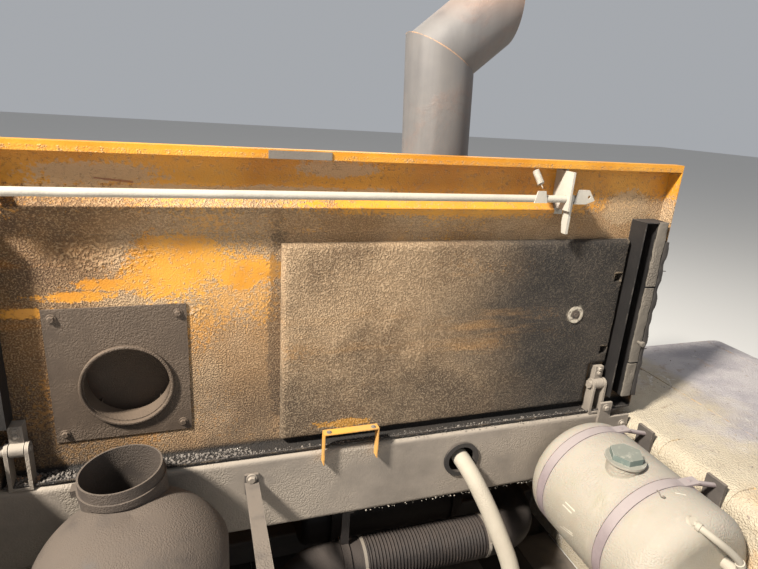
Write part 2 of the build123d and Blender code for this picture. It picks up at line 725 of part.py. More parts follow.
def exhaust_bellows():
    """Corrugated sleeve: a sawtooth turned about the pipe's axis."""
    pitch = BELLOWS_LENGTH / BELLOWS_WAVES
    valley = PIPE_R - BELLOWS_DEPTH
    cuff = PIPE_R + PLAY
    outline = [(-CUFF_LENGTH, cuff), (-CUFF_LENGTH, cuff + PIPE_WALL), (PLAY, cuff + PIPE_WALL)]
    for i in range(BELLOWS_WAVES):
        outline.append(((i + 0.25) * pitch, valley))
        outline.append(((i + 0.75) * pitch, PIPE_R + BELLOWS_DEPTH / 3))
    end = BELLOWS_LENGTH
    outline += [(end - PLAY, valley), (end - PLAY, cuff + PIPE_WALL), (end + CUFF_LENGTH, cuff + PIPE_WALL),
                (end + CUFF_LENGTH, cuff), (end - PLAY, cuff), (end - PLAY, valley - PIPE_WALL),
                (PLAY, valley - PIPE_WALL), (PLAY, cuff)]
    sleeve = revolve(Polygon(*outline, align=None), Axis.X)
    return Pos(BELLOWS_LEFT, 0, PIPE_Z) * sleeve


def muffler_hangers():
    """Plates from the beam's far face, each with a ring round the muffler."""
    hangers = []
    for x in HANGER_PLACES:
        xs = (x - HANGER_THICK / 2, x + HANGER_THICK / 2)
        outer = MUFFLER_R + HANGER_RIM
        web = ((BEAM_FAR, -BEAM_CORNER), (BEAM_FAR + 40, -BEAM_CORNER), (MUFFLER_Y + outer * 0.6, PIPE_Z + outer * 0.8),
               (MUFFLER_Y - outer, PIPE_Z), (BEAM_FAR, -BEAM_HEIGHT))
        plate = prism_x(web, xs) + bar_x(outer, xs, MUFFLER_Y, PIPE_Z)
        hangers.append(plate - bar_x(MUFFLER_R, (xs[0] - 1, xs[1] + 1), MUFFLER_Y, PIPE_Z))
    return hangers


def pipe_hanger():
    xs = (PIPE_HANGER_X - HANGER_RIM, PIPE_HANGER_X + HANGER_RIM)
    ring = bar_x(PIPE_R + HANGER_THICK, xs, 0, PIPE_Z)
    ring += slab(xs, (-HANGER_THICK / 2, HANGER_THICK / 2), (PIPE_Z + PIPE_R, -BEAM_HEIGHT))
    ring += slab(xs, (-40, 40), (-BEAM_HEIGHT - HANGER_THICK, -BEAM_HEIGHT))
    return ring - bar_x(PIPE_R, (xs[0] - 1, xs[1] + 1), 0, PIPE_Z)


# Air cleaner

def cleaner_outline(inset):
    """Half section of the canister, from its foot to its crown."""
    r = CLEANER_R - inset
    with BuildSketch(Plane.XZ) as sketch:
        with BuildLine():
            foot = Line((0, CLEANER_FOOT + inset), (r, CLEANER_FOOT + inset))
            wall = Line(foot @ 1, (r, CLEANER_SHOULDER))
            crown = ThreePointArc(wall @ 1, (r * 0.72, CLEANER_SHOULDER + (CLEANER_CROWN - CLEANER_SHOULDER - inset) * 0.68),
                                  (0, CLEANER_CROWN - inset))
            Line(crown @ 1, foot @ 0)
        make_face()
    return sketch.sketch


def neck_y():
    """The neck stands where the door's duct comes down on it."""
    return PIVOT_RISE - PIVOT_SETBACK - DUCT_Z


def canister():
    outer = revolve(cleaner_outline(0), Axis.Z)
    inner = revolve(cleaner_outline(CLEANER_WALL), Axis.Z)
    body = Pos(CLEANER_X, CLEANER_Y, 0) * (outer - inner)
    return body - on_neck(bar_z(COVER_HOLE_R, 0, 0, (CLEANER_SHOULDER, NECK_RIM)))


def air_cleaner_body():
    return canister() - bar_z(2 * CLEANER_R, CLEANER_X, CLEANER_Y, (COVER_JOINT, 2 * NECK_RIM))


def air_cleaner_cover():
    """Domed cover, open under the neck."""
    return canister() - bar_z(2 * CLEANER_R, CLEANER_X, CLEANER_Y, (CLEANER_FOOT - 1, COVER_JOINT))


def on_neck(piece):
    """Tips what stands on the canister towards the machine's front."""
    return Pos(DUCT_X, neck_y(), 0) * Rot(0, -NECK_LEAN, 0) * piece


def neck_cone(inset, zs):
    """The neck narrows from its foot to its rim."""
    foot, rim = zs
    low = NECK_R + NECK_FLARE - inset
    return Pos(0, 0, (foot + rim) / 2) * Cone(low, NECK_R - inset, rim - foot)


def air_cleaner_neck():
    zs = (CLEANER_SHOULDER, NECK_RIM)
    solid = on_neck(neck_cone(0, zs) - neck_cone(NECK_WALL, zs))
    return solid - Pos(CLEANER_X, CLEANER_Y, 0) * revolve(cleaner_outline(0), Axis.Z)


def neck_clamp():
    """Band that holds the neck on the canister's spigot, with its screw housing."""
    foot = CLEANER_CROWN + CLAMP_LIFT
    zs = (foot, foot + CLAMP_HEIGHT)
    r = NECK_R + NECK_FLARE * (NECK_RIM - foot) / (NECK_RIM - CLEANER_SHOULDER)
    band = bar_z(r + CLAMP_THICK, 0, 0, zs)
    band += slab((-r - CLAMP_SCREW, -r), (-CLAMP_SCREW, CLAMP_SCREW), zs)
    return on_neck(band - neck_cone(0, (CLEANER_SHOULDER, NECK_RIM)))


def cleaner_stand():
    """Band round the canister, with the foot that stands on the cross member."""
    zs = (CLEANER_FOOT + BAND_DROP, CLEANER_FOOT + BAND_DROP + BAND_HEIGHT)
    band = bar_z(CLEANER_R + BAND_THICK, CLEANER_X, CLEANER_Y, zs)
    legs = slab((CLEANER_X - SILL_WIDTH / 2, CLEANER_X + SILL_WIDTH / 2),
                (CLEANER_Y - CLEANER_R - 2 * BAND_THICK, CLEANER_Y + CLEANER_R + 2 * BAND_THICK), (SILL_TOP, zs[1]))
    stand = band + legs
    return stand - bar_z(CLEANER_R, CLEANER_X, CLEANER_Y, (CLEANER_FOOT, zs[1] + 1))


def cover_clamp():
    """Band over the joint of the canister and its cover, with its clips."""
    z = COVER_JOINT
    inner = CLEANER_R
    ring = bar_z(inner + BAND_THICK, 0, 0, (z - COVER_BAND / 2, z + COVER_BAND / 2))
    for i in range(COVER_CLIPS):
        clip = slab((inner, inner + CLIP_DEPTH), (-CLIP_WIDTH / 2, CLIP_WIDTH / 2), (z - CLIP_REACH / 2, z + CLIP_REACH / 2))
        ring += Rot(0, 0, (i + 0.5) * 360 / COVER_CLIPS) * clip
    ring -= bar_z(inner, 0, 0, (z - CLIP_REACH, z + CLIP_REACH))
    return Pos(CLEANER_X, CLEANER_Y, 0) * ring


# Coolant tank

def tank_solid(grow):
    r = TANK_R + grow
    body = bar_y(r, TANK_X, (TANK_NEAR - grow, TANK_FAR + grow), TANK_Z)
    return fillet(body.edges().filter_by(GeomType.CIRCLE), TANK_DOME + grow)


def coolant_tank():
    tank = tank_solid(0)
    for y in STRAP_PLACES:
        ys = (y - STRAP_WIDTH / 2 - GROOVE_PLAY, y + STRAP_WIDTH / 2 + GROOVE_PLAY)
        groove = bar_y(TANK_R + 1, TANK_X, ys, TANK_Z) - bar_y(TANK_R - GROOVE_DEPTH, TANK_X, ys, TANK_Z)
        tank -= groove
    return tank


def tank_straps():
    """Bands round the tank, each with an ear bolted to the bracket on the box."""
    bands = []
    for y in STRAP_PLACES:
        ys = (y - STRAP_WIDTH / 2, y + STRAP_WIDTH / 2)
        inner = TANK_R - GROOVE_DEPTH + PLAY
        band = bar_y(inner + STRAP_THICK, TANK_X, ys, TANK_Z)
        x = TANK_X + TANK_R * EAR_OUT
        z = TANK_Z + TANK_R * EAR_UP
        band += slab((x, x + EAR_DEPTH), ys, (z - EAR_THICK, z))
        band += bar_between(EAR_BOLT_R, Vector(x + EAR_DEPTH / 2, y, z - EAR_THICK / 2),
                            Vector(BOX_WALL, y, TAB_TOP - TAB_BOLT_DROP))
        band -= slab((BOX_WALL - CRADLE_THICK - PLAY, BOX_WALL + CRADLE_THICK), ys,
                     (TAB_TOP - 2 * TAB_BOLT_DROP, TAB_TOP))
        bands.append(band - bar_y(inner, TANK_X, (ys[0] - 1, ys[1] + 1), TANK_Z))
    return bands


def tank_cradle():
    """Brackets on the box wall, hollowed to the tank, one behind each strap."""
    brackets = []
    for y in STRAP_PLACES:
        ys = (y - CRADLE_WIDTH / 2, y + CRADLE_WIDTH / 2)
        groove = (y - STRAP_WIDTH / 2 - PLAY, y + STRAP_WIDTH / 2 + PLAY)
        bracket = slab((TANK_X, BOX_WALL), ys, (TANK_Z - TANK_R - 40, TANK_Z + 40))
        bracket += slab((BOX_WALL - CRADLE_THICK, BOX_WALL), ys, (TANK_Z, TAB_TOP))
        bracket -= bar_y(TANK_R + PLAY, TANK_X, (ys[0] - 1, ys[1] + 1), TANK_Z)
        bracket -= bar_y(TANK_R + STRAP_THICK + 2 * PLAY, TANK_X, groove, TANK_Z)
        window = slab((TANK_X - 1, BOX_WALL - CRADLE_THICK), (ys[0] + CRADLE_THICK / 2, ys[1] + 1),
                      (TANK_Z - TANK_R - 41 + CRADLE_THICK, TANK_Z + 41))
        brackets.append(bracket - window)
    return brackets


def filler_neck():
    crown = TANK_Z + TANK_R
    neck = bar_z(FILLER_R, CAP_X, CAP_Y, (crown - 30, crown + FILLER_RISE))
    return neck - bar_y(TANK_R, TANK_X, (TANK_NEAR, TANK_FAR), TANK_Z)


def filler_cap():
    foot = TANK_Z + TANK_R + FILLER_RISE
    cap = bar_z(CAP_FLANGE_R, CAP_X, CAP_Y, (foot, foot + CAP_FLANGE_THICK))
    hexagon = RegularPolygon(CAP_HEX / 2, 6, major_radius=False)
    return cap + Pos(CAP_X, CAP_Y, foot + CAP_FLANGE_THICK) * extrude(hexagon, CAP_HEIGHT - CAP_FLANGE_THICK)


def tank_outlet():
    """Elbow from the near end of the tank, with its short hose back under the tank."""
    z = TANK_Z + 60
    points = ((TANK_X + 60, TANK_NEAR - PLAY, z), (TANK_X + 60, TANK_NEAR - OUTLET_REACH, z),
              (TANK_X + 60 + OUTLET_RUN, TANK_NEAR - OUTLET_REACH, z - OUTLET_DROP))
    return swept_tube(points, 30, OUTLET_R, OUTLET_WALL)


# Coolant hose

def hose_points():
    return ((HOLE_X, HOSE_START, HOLE_Z),) + HOSE_BENDS + ((HOSE_BENDS[-1][0], HOSE_BENDS[-1][1], HOSE_END),)


def coolant_hose():
    points = hose_points()
    radii = [corner_radius(*points[i - 1:i + 2], 0.45) for i in range(1, len(points) - 1)]
    print("hose radii", [round(r) for r in radii])
    return swept_tube(points, radii, HOSE_R, HOSE_WALL)


def hose_stubs():
    r = HOSE_R - HOSE_WALL - PLAY
    points = ((HOLE_X, HOSE_START, HOLE_Z), (HOLE_X, PORT_Y, HOLE_Z), (HOLE_X, PORT_Y, -BEAM_HEIGHT - PORT_DROP))
    upper = swept_tube(points, STUB_BEND, r, STUB_WALL)
    x, y = HOSE_BENDS[-1][:2]
    lower = bar_z(r, x, y, (SILL_TOP, HOSE_END + STUB_LENGTH))
    lower -= bar_z(r - STUB_WALL, x, y, (SILL_TOP - 1, HOSE_END + STUB_LENGTH + 1))
    return [upper, lower]


# Raised door

def door_skin():
    outer = slab((DOOR_LEFT, DOOR_RIGHT), (-LIP, SHEET), (DOOR_GAP, DOOR_TOP))
    outer = fillet(outer.edges().filter_by(Axis.X).sort_by(Axis.Y)[-2:], DOOR_EDGE_R)
    inner = slab((DOOR_LEFT + SHEET, DOOR_RIGHT - SHEET), (-LIP - 1, 0), (DOOR_GAP + SHEET, DOOR_TOP - SHEET))
    inner = fillet(inner.edges().filter_by(Axis.X).sort_by(Axis.Y)[-2:], DOOR_EDGE_R - SHEET)
    skin = outer - inner
    skin += slab((DOOR_LEFT, DOOR_RIGHT), (-LIP, -LIP + SHEET), (DOOR_TOP - LIP_RETURN, DOOR_TOP - SHEET))
    skin -= bar_y(DUCT_BORE + DUCT_WALL + PLAY, DUCT_X, (-1, SHEET + 1), DUCT_Z)
    for x in HINGE_PLACES:
        half = EYE_WIDTH / 2 + LUG_PLAY + LUG_THICK + NOTCH_MARGIN
        skin -= slab((x - half, x + half), (-LIP - 1, PIVOT_Y + LUG_R + 4), (DOOR_GAP - 1, DOOR_GAP + DOOR_EDGE_R))
    return skin


def door_stiffener():
    outer = ((0, HAT_TOP), (-HAT_DEPTH, HAT_NOSE), (-HAT_DEPTH, HAT_NOSE - 12), (0, HAT_LOW))
    inner = ((0, HAT_TOP - 5), (-HAT_DEPTH + SHEET, HAT_NOSE - 3), (-HAT_DEPTH + SHEET, HAT_NOSE - 10), (0, HAT_LOW + 7))
    xs = (DOOR_LEFT + SHEET + LEFT_SEAL_WIDTH + 2, HAT_RIGHT)
    hat = prism_x(outer, xs) - prism_x(inner, xs)
    end = ((HAT_RIGHT - HAT_SLANT, HAT_LOW - 1), (HAT_RIGHT + 1, HAT_LOW - 1), (HAT_RIGHT + 1, HAT_TOP + 1))
    return hat - prism_y(end, (-HAT_DEPTH - 1, 1))


def sound_pad():
    pad = slab((PAD_LEFT, PAD_RIGHT), (-PAD_THICK, 0), (PAD_LOW, PAD_TOP))
    pad = fillet(pad.edges().group_by(Axis.Y)[0], PAD_EDGE_R)
    for z in SLOT_LEVELS:
        pad -= slab((PAD_RIGHT - SLOT_WIDTH, PAD_RIGHT - PAD_EDGE_R), (-PAD_THICK - 1, 1),
                    (z - SLOT_HEIGHT / 2, z + SLOT_HEIGHT / 2))
    half = EYE_WIDTH / 2 + LUG_PLAY + LUG_THICK + NOTCH_MARGIN
    return pad - slab((HINGE_PLACES[1] - half, PAD_RIGHT + 1), (-PAD_THICK - 1, 1), (0, STRAP_TOP + STRAP_CLEAR))


def pad_washer():
    ring = bar_y(WASHER_R, WASHER_X, (-PAD_THICK - SHEET, -PAD_THICK), WASHER_Z)
    return ring + bar_y(WASHER_R / 4, WASHER_X, (-PAD_THICK - 2 * SHEET, -PAD_THICK), WASHER_Z)


def duct_plate():
    plate = slab((DUCT_PLATE_LEFT, DUCT_PLATE_LEFT + DUCT_PLATE_WIDTH), (-DUCT_PLATE_THICK, 0),
                 (DUCT_PLATE_LOW, DUCT_PLATE_TOP))
    return plate - bar_y(DUCT_BORE + DUCT_WALL + PLAY, DUCT_X, (-DUCT_PLATE_THICK - 1, 1), DUCT_Z)


def duct_collar():
    ys = (-DUCT_PLATE_THICK - COLLAR_DEPTH, -DUCT_PLATE_THICK)
    ring = bar_y(COLLAR_R, DUCT_X, ys, DUCT_Z) - bar_y(DUCT_BORE + DUCT_WALL + PLAY, DUCT_X, ys, DUCT_Z)
    return fillet(ring.edges().filter_by(GeomType.CIRCLE).group_by(Axis.Y)[0], 3)


def inlet_head():
    """Tube through the door, under a skirted cap that keeps rain out."""
    tube_top = HEAD_RISE - HEAD_TUBE_GAP
    tube = bar_y(DUCT_BORE + DUCT_WALL, DUCT_X, (-DUCT_PLATE_THICK, tube_top), DUCT_Z)
    cap = bar_y(HEAD_R, DUCT_X, (HEAD_RISE - HEAD_SKIRT, HEAD_RISE), DUCT_Z)
    cap = fillet(cap.edges().filter_by(GeomType.CIRCLE).group_by(Axis.Y)[-1], HEAD_EDGE_R)
    inside = HEAD_RISE - HEAD_TOP_THICK
    cap -= bar_y(HEAD_R - SHEET, DUCT_X, (HEAD_RISE - HEAD_SKIRT - 1, inside), DUCT_Z)
    rib_ys = (SHEET, inside)
    ribs = []
    for i in range(HEAD_RIBS):
        rib = Rot(0, i * 360 / HEAD_RIBS + 45, 0) * slab((DUCT_BORE + 1, HEAD_R - 1), rib_ys, (-SHEET / 2, SHEET / 2))
        ribs.append(Pos(DUCT_X, 0, DUCT_Z) * rib)
    head = tube + cap + ribs
    return head - bar_y(DUCT_BORE, DUCT_X, (-DUCT_PLATE_THICK - 1, tube_top + 1), DUCT_Z)


def door_handle():
    """Paddle in its frame on the door's outer face, over the lever that it pushes."""
    x = LEVER_X + LEVER_THICK / 2
    z = ROD_Z - LEVER_DROP / 2
    face = Plane.XZ.offset(-SHEET) * Pos(x, z)
    frame = extrude(face * RectangleRounded(HANDLE_WIDTH, HANDLE_HEIGHT, 2 * CORNER_R), HANDLE_RIM, dir=(0, 1, 0))
    frame -= extrude(face * RectangleRounded(HANDLE_WIDTH - 4 * HANDLE_RIM, HANDLE_HEIGHT - 4 * HANDLE_RIM, CORNER_R),
                     HANDLE_RIM + 1, dir=(0, 1, 0))
    low = z - HANDLE_HEIGHT / 2 + 3 * HANDLE_RIM
    high = z + HANDLE_HEIGHT / 2 - HANDLE_RIM
    paddle = ((SHEET, low), (PADDLE_RISE, low), (HANDLE_RIM + 2 * SHEET, high), (SHEET, high))
    half = HANDLE_WIDTH / 2 - 4 * HANDLE_RIM
    return frame + prism_x(paddle, (x - half, x + half))


def seal_channels():
    """Bent sheet that holds the end seals: a wide one at the rear end, a narrow one in front."""
    right = FOAM_RIGHT
    zs = (SEAL_LOW, SEAL_TOP)
    wide = slab((RIGHT_SEAL_X, right), (-SEAL_DEPTH, 0), zs)
    wide -= slab((RIGHT_SEAL_X + SHEET, right - FOAM_WIDTH), (-SEAL_DEPTH - 1, -SHEET), (zs[0] - 1, zs[1] - SHEET))
    wide -= slab((right - FOAM_WIDTH - 1, right + 1), (-SEAL_DEPTH - 1, -SEAL_DEPTH + 2 * SHEET), (zs[0] - 1, zs[1] + 1))
    narrow = slab((DOOR_LEFT + SHEET, DOOR_LEFT + SHEET + LEFT_SEAL_WIDTH), (-SEAL_DEPTH + 10, 0),
                  (STRAP_TOP + STRAP_CLEAR, SEAL_TOP))
    return [wide, narrow]


def seal_strips():
    right = FOAM_RIGHT
    zs = (SEAL_LOW, SEAL_TOP)
    foam = slab((right - FOAM_WIDTH, right), (-SEAL_DEPTH, -SEAL_DEPTH + 2 * SHEET), zs)
    rubber = slab((right + PLAY, right + RUBBER_WIDTH), (-SEAL_DEPTH - 4, 0), (zs[0], zs[1] - 60))
    peg = bar_y(PEG_R, right - FOAM_WIDTH / 2, (-SEAL_DEPTH - 24, -SEAL_DEPTH), PEG_Z)
    return [foam + peg, rubber]


def grip_plate():
    return slab((GRIP_LEFT, GRIP_LEFT + GRIP_WIDTH), (-LIP - SHEET, -LIP), (DOOR_TOP - LIP_RETURN, DOOR_TOP - 2))


# Hinges

def hinge_straps():
    """Door leaves, each an eye on a strap that stands off the skin."""
    straps = []
    for x in HINGE_PLACES:
        xs = (x - EYE_WIDTH / 2, x + EYE_WIDTH / 2)
        strap = bar_x(EYE_R, xs, PIVOT_Y, PIVOT_Z)
        strap += slab(xs, (PIVOT_Y, 0), (PIVOT_Z, STRAP_TOP))
        straps.append(strap - bar_x(PIN_R + PIN_PLAY, (xs[0] - 1, xs[1] + 1), PIVOT_Y, PIVOT_Z))
    return straps


def hinge_lugs():
    """Two lugs at each hinge, on a pad on top of the beam."""
    lugs = []
    for x in HINGE_PLACES:
        half = EYE_WIDTH / 2 + LUG_PLAY
        ys = (PIVOT_Y - LUG_R + 2, PIVOT_Y + LUG_R - 2)
        base = slab((x - half - LUG_THICK, x + half + LUG_THICK), ys, (0, LUG_THICK - 2))
        for side in (-1, 1):
            xs = sorted((x + side * half, x + side * (half + LUG_THICK)))
            base += slab(xs, ys, (0, PIVOT_Z)) + bar_x(LUG_R - 2, xs, PIVOT_Y, PIVOT_Z)
        lugs.append(base - bar_x(PIN_R + PIN_PLAY, (x - 60, x + 60), PIVOT_Y, PIVOT_Z))
    return lugs


def hinge_pins():
    pins = []
    for x in HINGE_PLACES:
        half = EYE_WIDTH / 2 + LUG_PLAY + LUG_THICK
        pin = bar_x(PIN_R, (x - half - 4, x + half + 4), PIVOT_Y, PIVOT_Z)
        pins.append(pin + bar_x(PIN_R + 5, (x - half - 9, x - half - 1), PIVOT_Y, PIVOT_Z))
    return pins


# Latch

def latch_rod():
    rod = bar_x(ROD_R, (ROD_LEFT, ROD_RIGHT), ROD_Y, ROD_Z)
    face = (ROD_Y - ROD_R - TONGUE_THICK / 2, ROD_Y - ROD_R + TONGUE_THICK / 2)
    for x, side, back in TONGUES:
        outline = ((x - side * back, TONGUE_LOW), (x + side * 10, TONGUE_LOW), (x + side * TONGUE_REACH, ROD_Z - 2),
                   (x + side * 16, TONGUE_TOP), (x - side * back * 0.6, TONGUE_TOP))
        tongue = prism_y(outline, face)
        hole = bar_y(TONGUE_HOLE_R, x + side * 18, (face[0] - 1, face[1] + 1), ROD_Z + 8)
        rod += tongue - hole
    right = ANCHOR_X + ANCHOR_WIDTH
    anchor = prism_y(((ANCHOR_X, ROD_Z - ROD_R), (right, ROD_Z - ROD_R), (right - ANCHOR_TAPER, ROD_Z + ANCHOR_RISE),
                      (ANCHOR_X + ANCHOR_TAPER, ROD_Z + ANCHOR_RISE)), face)
    return rod + anchor


def latch_lever():
    """Arm on the rod that the outside handle pushes."""
    xs = (LEVER_X, LEVER_X + LEVER_THICK)
    half = LEVER_WIDTH / 2
    outline = ((ROD_Y - half, ROD_Z + half), (ROD_Y + half, ROD_Z + half), (ROD_Y + half, ROD_Z - LEVER_DROP * 0.7),
               (ROD_Y + half - 6, ROD_Z - LEVER_DROP), (ROD_Y - half + 2, ROD_Z - LEVER_DROP))
    arm = prism_x(outline, xs)
    return arm - bar_x(ROD_R, (xs[0] - 1, xs[1] + 1), ROD_Y, ROD_Z)


def rod_guide():
    xs = (GUIDE_X, GUIDE_X + GUIDE_THICK)
    guide = slab(xs, (ROD_Y, 0), (HAT_TOP + 2, ROD_Z + GUIDE_R)) + bar_x(GUIDE_R, xs, ROD_Y, ROD_Z)
    guide += slab((GUIDE_X - 24, GUIDE_X + GUIDE_THICK), (-GUIDE_THICK, 0), (HAT_TOP + 2, ROD_Z + GUIDE_R + 20))
    return guide - bar_x(ROD_R + GUIDE_PLAY, (xs[0] - 1, xs[1] + 1), ROD_Y, ROD_Z)


def latch_bracket():
    xs = (BRACKET_X, BRACKET_X + GUIDE_THICK)
    web = slab(xs, (ROD_Y - GUIDE_R, 0), (BRACKET_LOW + 20, BRACKET_TOP - 10))
    web += slab((BRACKET_X, BRACKET_X + BRACKET_WIDTH), (-GUIDE_THICK, 0), (BRACKET_LOW, BRACKET_TOP))
    wide, high = BRACKET_SLOT
    for z in (BRACKET_LOW + high, BRACKET_TOP - high):
        web -= slab((BRACKET_X + BRACKET_WIDTH - 2 * wide, BRACKET_X + BRACKET_WIDTH - wide), (-GUIDE_THICK - 1, 1),
                    (z - high / 2, z + high / 2))
    return web - bar_x(ROD_R + GUIDE_PLAY, (xs[0] - 1, xs[1] + 1), ROD_Y, ROD_Z)


def return_spring():
    """From the lip down to the anchor plate on the rod."""
    x = ANCHOR_X + ANCHOR_WIDTH / 2
    top = Vector(x - 14, -LIP + SHEET + SPRING_SET, SPRING_TOP)
    low = Vector(x, ROD_Y - ROD_R, ROD_Z + ANCHOR_RISE + SPRING_R * 0.62)
    axis = low - top
    place = Plane(top, z_dir=axis)
    return extrude(place * (Circle(SPRING_R) - Circle(SPRING_R - SPRING_WALL)), axis.length)


ROOT_PIECES = {
    "bulkhead": bulkhead, "sill_rails": sill_rails, "cross_members": cross_members, "feet": feet,
    "cooler_box": cooler_box, "rear_grille": rear_grille, "centre_beam": centre_beam,
    "beam_grommet": beam_grommet, "beam_end_plate": beam_end_plate, "near_side_rail": near_side_rail,
    "strikers": strikers, "brace_bar": brace_bar, "guard_bracket": guard_bracket, "far_panel": far_panel,
    "stack_tube": stack_tube, "stack_outlet": stack_outlet, "stack_flange": stack_flange,
    "stack_riser": stack_riser, "muffler": muffler, "exhaust_pipe": exhaust_pipe,
    "exhaust_bellows": exhaust_bellows, "muffler_hangers": muffler_hangers, "pipe_hanger": pipe_hanger,
    "air_cleaner_body": air_cleaner_body, "air_cleaner_cover": air_cleaner_cover,
    "air_cleaner_neck": air_cleaner_neck, "neck_clamp": neck_clamp,
    "cleaner_stand": cleaner_stand, "coolant_tank": coolant_tank, "tank_straps": tank_straps,
    "tank_cradle": tank_cradle, "filler_neck": filler_neck, "filler_cap": filler_cap,
    "tank_outlet": tank_outlet, "coolant_hose": coolant_hose, "hose_stubs": hose_stubs,
    "hinge_lugs": hinge_lugs, "hinge_pins": hinge_pins, "box_hood": box_hood, "side_screens": side_screens,
    "side_panel": side_panel, "belly_guard": belly_guard, "cover_clamp": cover_clamp,
}
DOOR_PIECES = {
    "door_skin": door_skin, "door_stiffener": door_stiffener, "sound_pad": sound_pad,
    "pad_washer": pad_washer, "duct_plate": duct_plate, "duct_collar": duct_collar,
    "inlet_head": inlet_head, "seal_channels": seal_channels, "seal_strips": seal_strips,
    "grip_plate": grip_plate, "hinge_straps": hinge_straps, "rod_guide": rod_guide,
    "latch_bracket": latch_bracket, "door_handle": door_handle,
}
LATCH_PIECES = {"latch_rod": latch_rod, "latch_lever": latch_lever, "return_spring": return_spring}


def save(name, shape):
    """Moves a piece to the section's own origin and writes it."""
    middle = Pos(-(SECTION_FRONT + BOX_REAR) / 2, (NEAR_REACH - FAR_REACH) / 2, FLOOR_DROP)
    solids = []
    for piece in shape if isinstance(shape, list) else [shape]:
        solids += (middle * piece).solids()
    export_step(solids[0] if len(solids) == 1 else Compound(children=solids), f"parts/{name}.step")


os.makedirs("parts", exist_ok=True)
for group in (ROOT_PIECES, DOOR_PIECES, LATCH_PIECES):
    for name, make in group.items():
        save(name, make())
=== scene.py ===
"""Looks of a loader's hood section: the raised side door, the beam under it and what stands before it."""
import json
import math
import random
from functools import reduce

import bmesh
import bpy
from mathutils import Matrix, Vector, noise


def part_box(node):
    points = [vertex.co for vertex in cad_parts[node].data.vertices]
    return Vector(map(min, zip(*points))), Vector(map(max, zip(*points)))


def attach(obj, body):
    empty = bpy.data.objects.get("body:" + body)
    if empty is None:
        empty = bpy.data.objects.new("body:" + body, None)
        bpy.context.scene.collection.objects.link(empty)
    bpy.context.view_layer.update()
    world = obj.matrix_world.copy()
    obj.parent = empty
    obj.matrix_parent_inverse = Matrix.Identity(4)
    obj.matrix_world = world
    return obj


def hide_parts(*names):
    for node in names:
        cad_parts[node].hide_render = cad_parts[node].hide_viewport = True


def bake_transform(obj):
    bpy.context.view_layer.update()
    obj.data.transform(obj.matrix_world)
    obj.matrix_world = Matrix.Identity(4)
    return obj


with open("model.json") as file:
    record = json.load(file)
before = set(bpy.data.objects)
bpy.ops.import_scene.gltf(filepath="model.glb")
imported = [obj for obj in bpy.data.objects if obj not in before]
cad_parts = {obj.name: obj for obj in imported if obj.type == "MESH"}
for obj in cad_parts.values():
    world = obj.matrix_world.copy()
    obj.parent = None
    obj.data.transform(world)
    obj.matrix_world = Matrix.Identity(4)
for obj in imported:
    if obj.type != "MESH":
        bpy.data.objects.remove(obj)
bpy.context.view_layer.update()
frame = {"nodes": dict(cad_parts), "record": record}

# Places are written in bay millimetres: x to the machine's rear from a line 450 mm behind the door's
# front edge, y from the raised door's inner face, z from the beam's top. bay() turns them into metres.
DOOR_FRONT = -450
BEAM_NEAR = -50
BEAM_TOP = 750
BAY_ORIGIN = Vector((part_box("door_skin")[0].x - DOOR_FRONT / 1000,
                     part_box("centre_beam")[0].y - BEAM_NEAR / 1000, BEAM_TOP / 1000))


def bay(x, y, z):
    return BAY_ORIGIN + Vector((x, y, z)) / 1000


def bay_along(axis, place_at):
    """A bay place along X, Y or Z alone, in metres."""
    return bay(place_at, place_at, place_at)["XYZ".index(axis)]


def mm(value):
    return value / 1000


# Node trees

class Field:
    """A node's output, which varies over the surface. Arithmetic on it adds Math nodes."""

    def __init__(self, socket):
        self.socket = socket
        self.tree = socket.id_data

    def calc(self, operation, first, second=0.0):
        return field(self.tree, "Math", {0: first, 1: second}, operation=operation)

    def __add__(self, other):
        return self.calc("ADD", self, other)

    def __sub__(self, other):
        return self.calc("SUBTRACT", self, other)

    def __rsub__(self, other):
        return self.calc("SUBTRACT", other, self)

    def __mul__(self, other):
        return self.calc("MULTIPLY", self, other)

    def __truediv__(self, other):
        return self.calc("DIVIDE", self, other)

    def __abs__(self):
        return self.calc("ABSOLUTE", self)


def larger(first, second):
    return first.calc("MAXIMUM", first, second)


def feed(sockets, **values):
    """Gives sockets plain values or Fields by name, with _ for a space."""
    for key, value in values.items():
        put(value, sockets[key.replace("_", " ")])


def put(value, socket):
    if isinstance(value, Field):
        value.tree.links.new(value.socket, socket)
    else:
        socket.default_value = value


def field(tree, kind, inputs=None, output=0, **settings):
    """An output of a new node, whose inputs are plain values or Fields."""
    made = tree.nodes.new("ShaderNode" + kind)
    for key, value in settings.items():
        setattr(made, key, value)
    for key, value in (inputs or {}).items():
        put(value, made.inputs[key])
    return Field(made.outputs[output])


def vector_math(operation, first, second=None, output="Vector"):
    inputs = {0: first} if second is None else {0: first, 1: second}
    return field(first.tree, "VectorMath", inputs, output, operation=operation)


def ramp(value, low, high, start=0.0, end=1.0):
    """start below low and end above high, with a soft step between."""
    inputs = {"Value": value, "From Min": low, "From Max": high, "To Min": start, "To Max": end}
    return field(value.tree, "MapRange", inputs, interpolation_type="SMOOTHSTEP")


def bay_ramp(value, axis, low, high):
    """A ramp from 0 to 1 between two bay places along an axis."""
    return ramp(value, bay_along(axis, low), bay_along(axis, high))


def place(tree):
    """Place on the object, which stays on it as it moves."""
    return field(tree, "TexCoord", output="Object")


def place_along(tree, axis):
    return field(tree, "SeparateXYZ", {0: place(tree)}, axis)


def stretched(tree, x, y, z):
    return vector_math("MULTIPLY", place(tree), (x, y, z))


def cloud(tree, scale, detail=4.0, rough=0.55, where=None, bend=0.0):
    inputs = {"Vector": where or place(tree), "Scale": scale, "Detail": detail, "Roughness": rough,
              "Distortion": bend}
    return field(tree, "TexNoise", inputs)


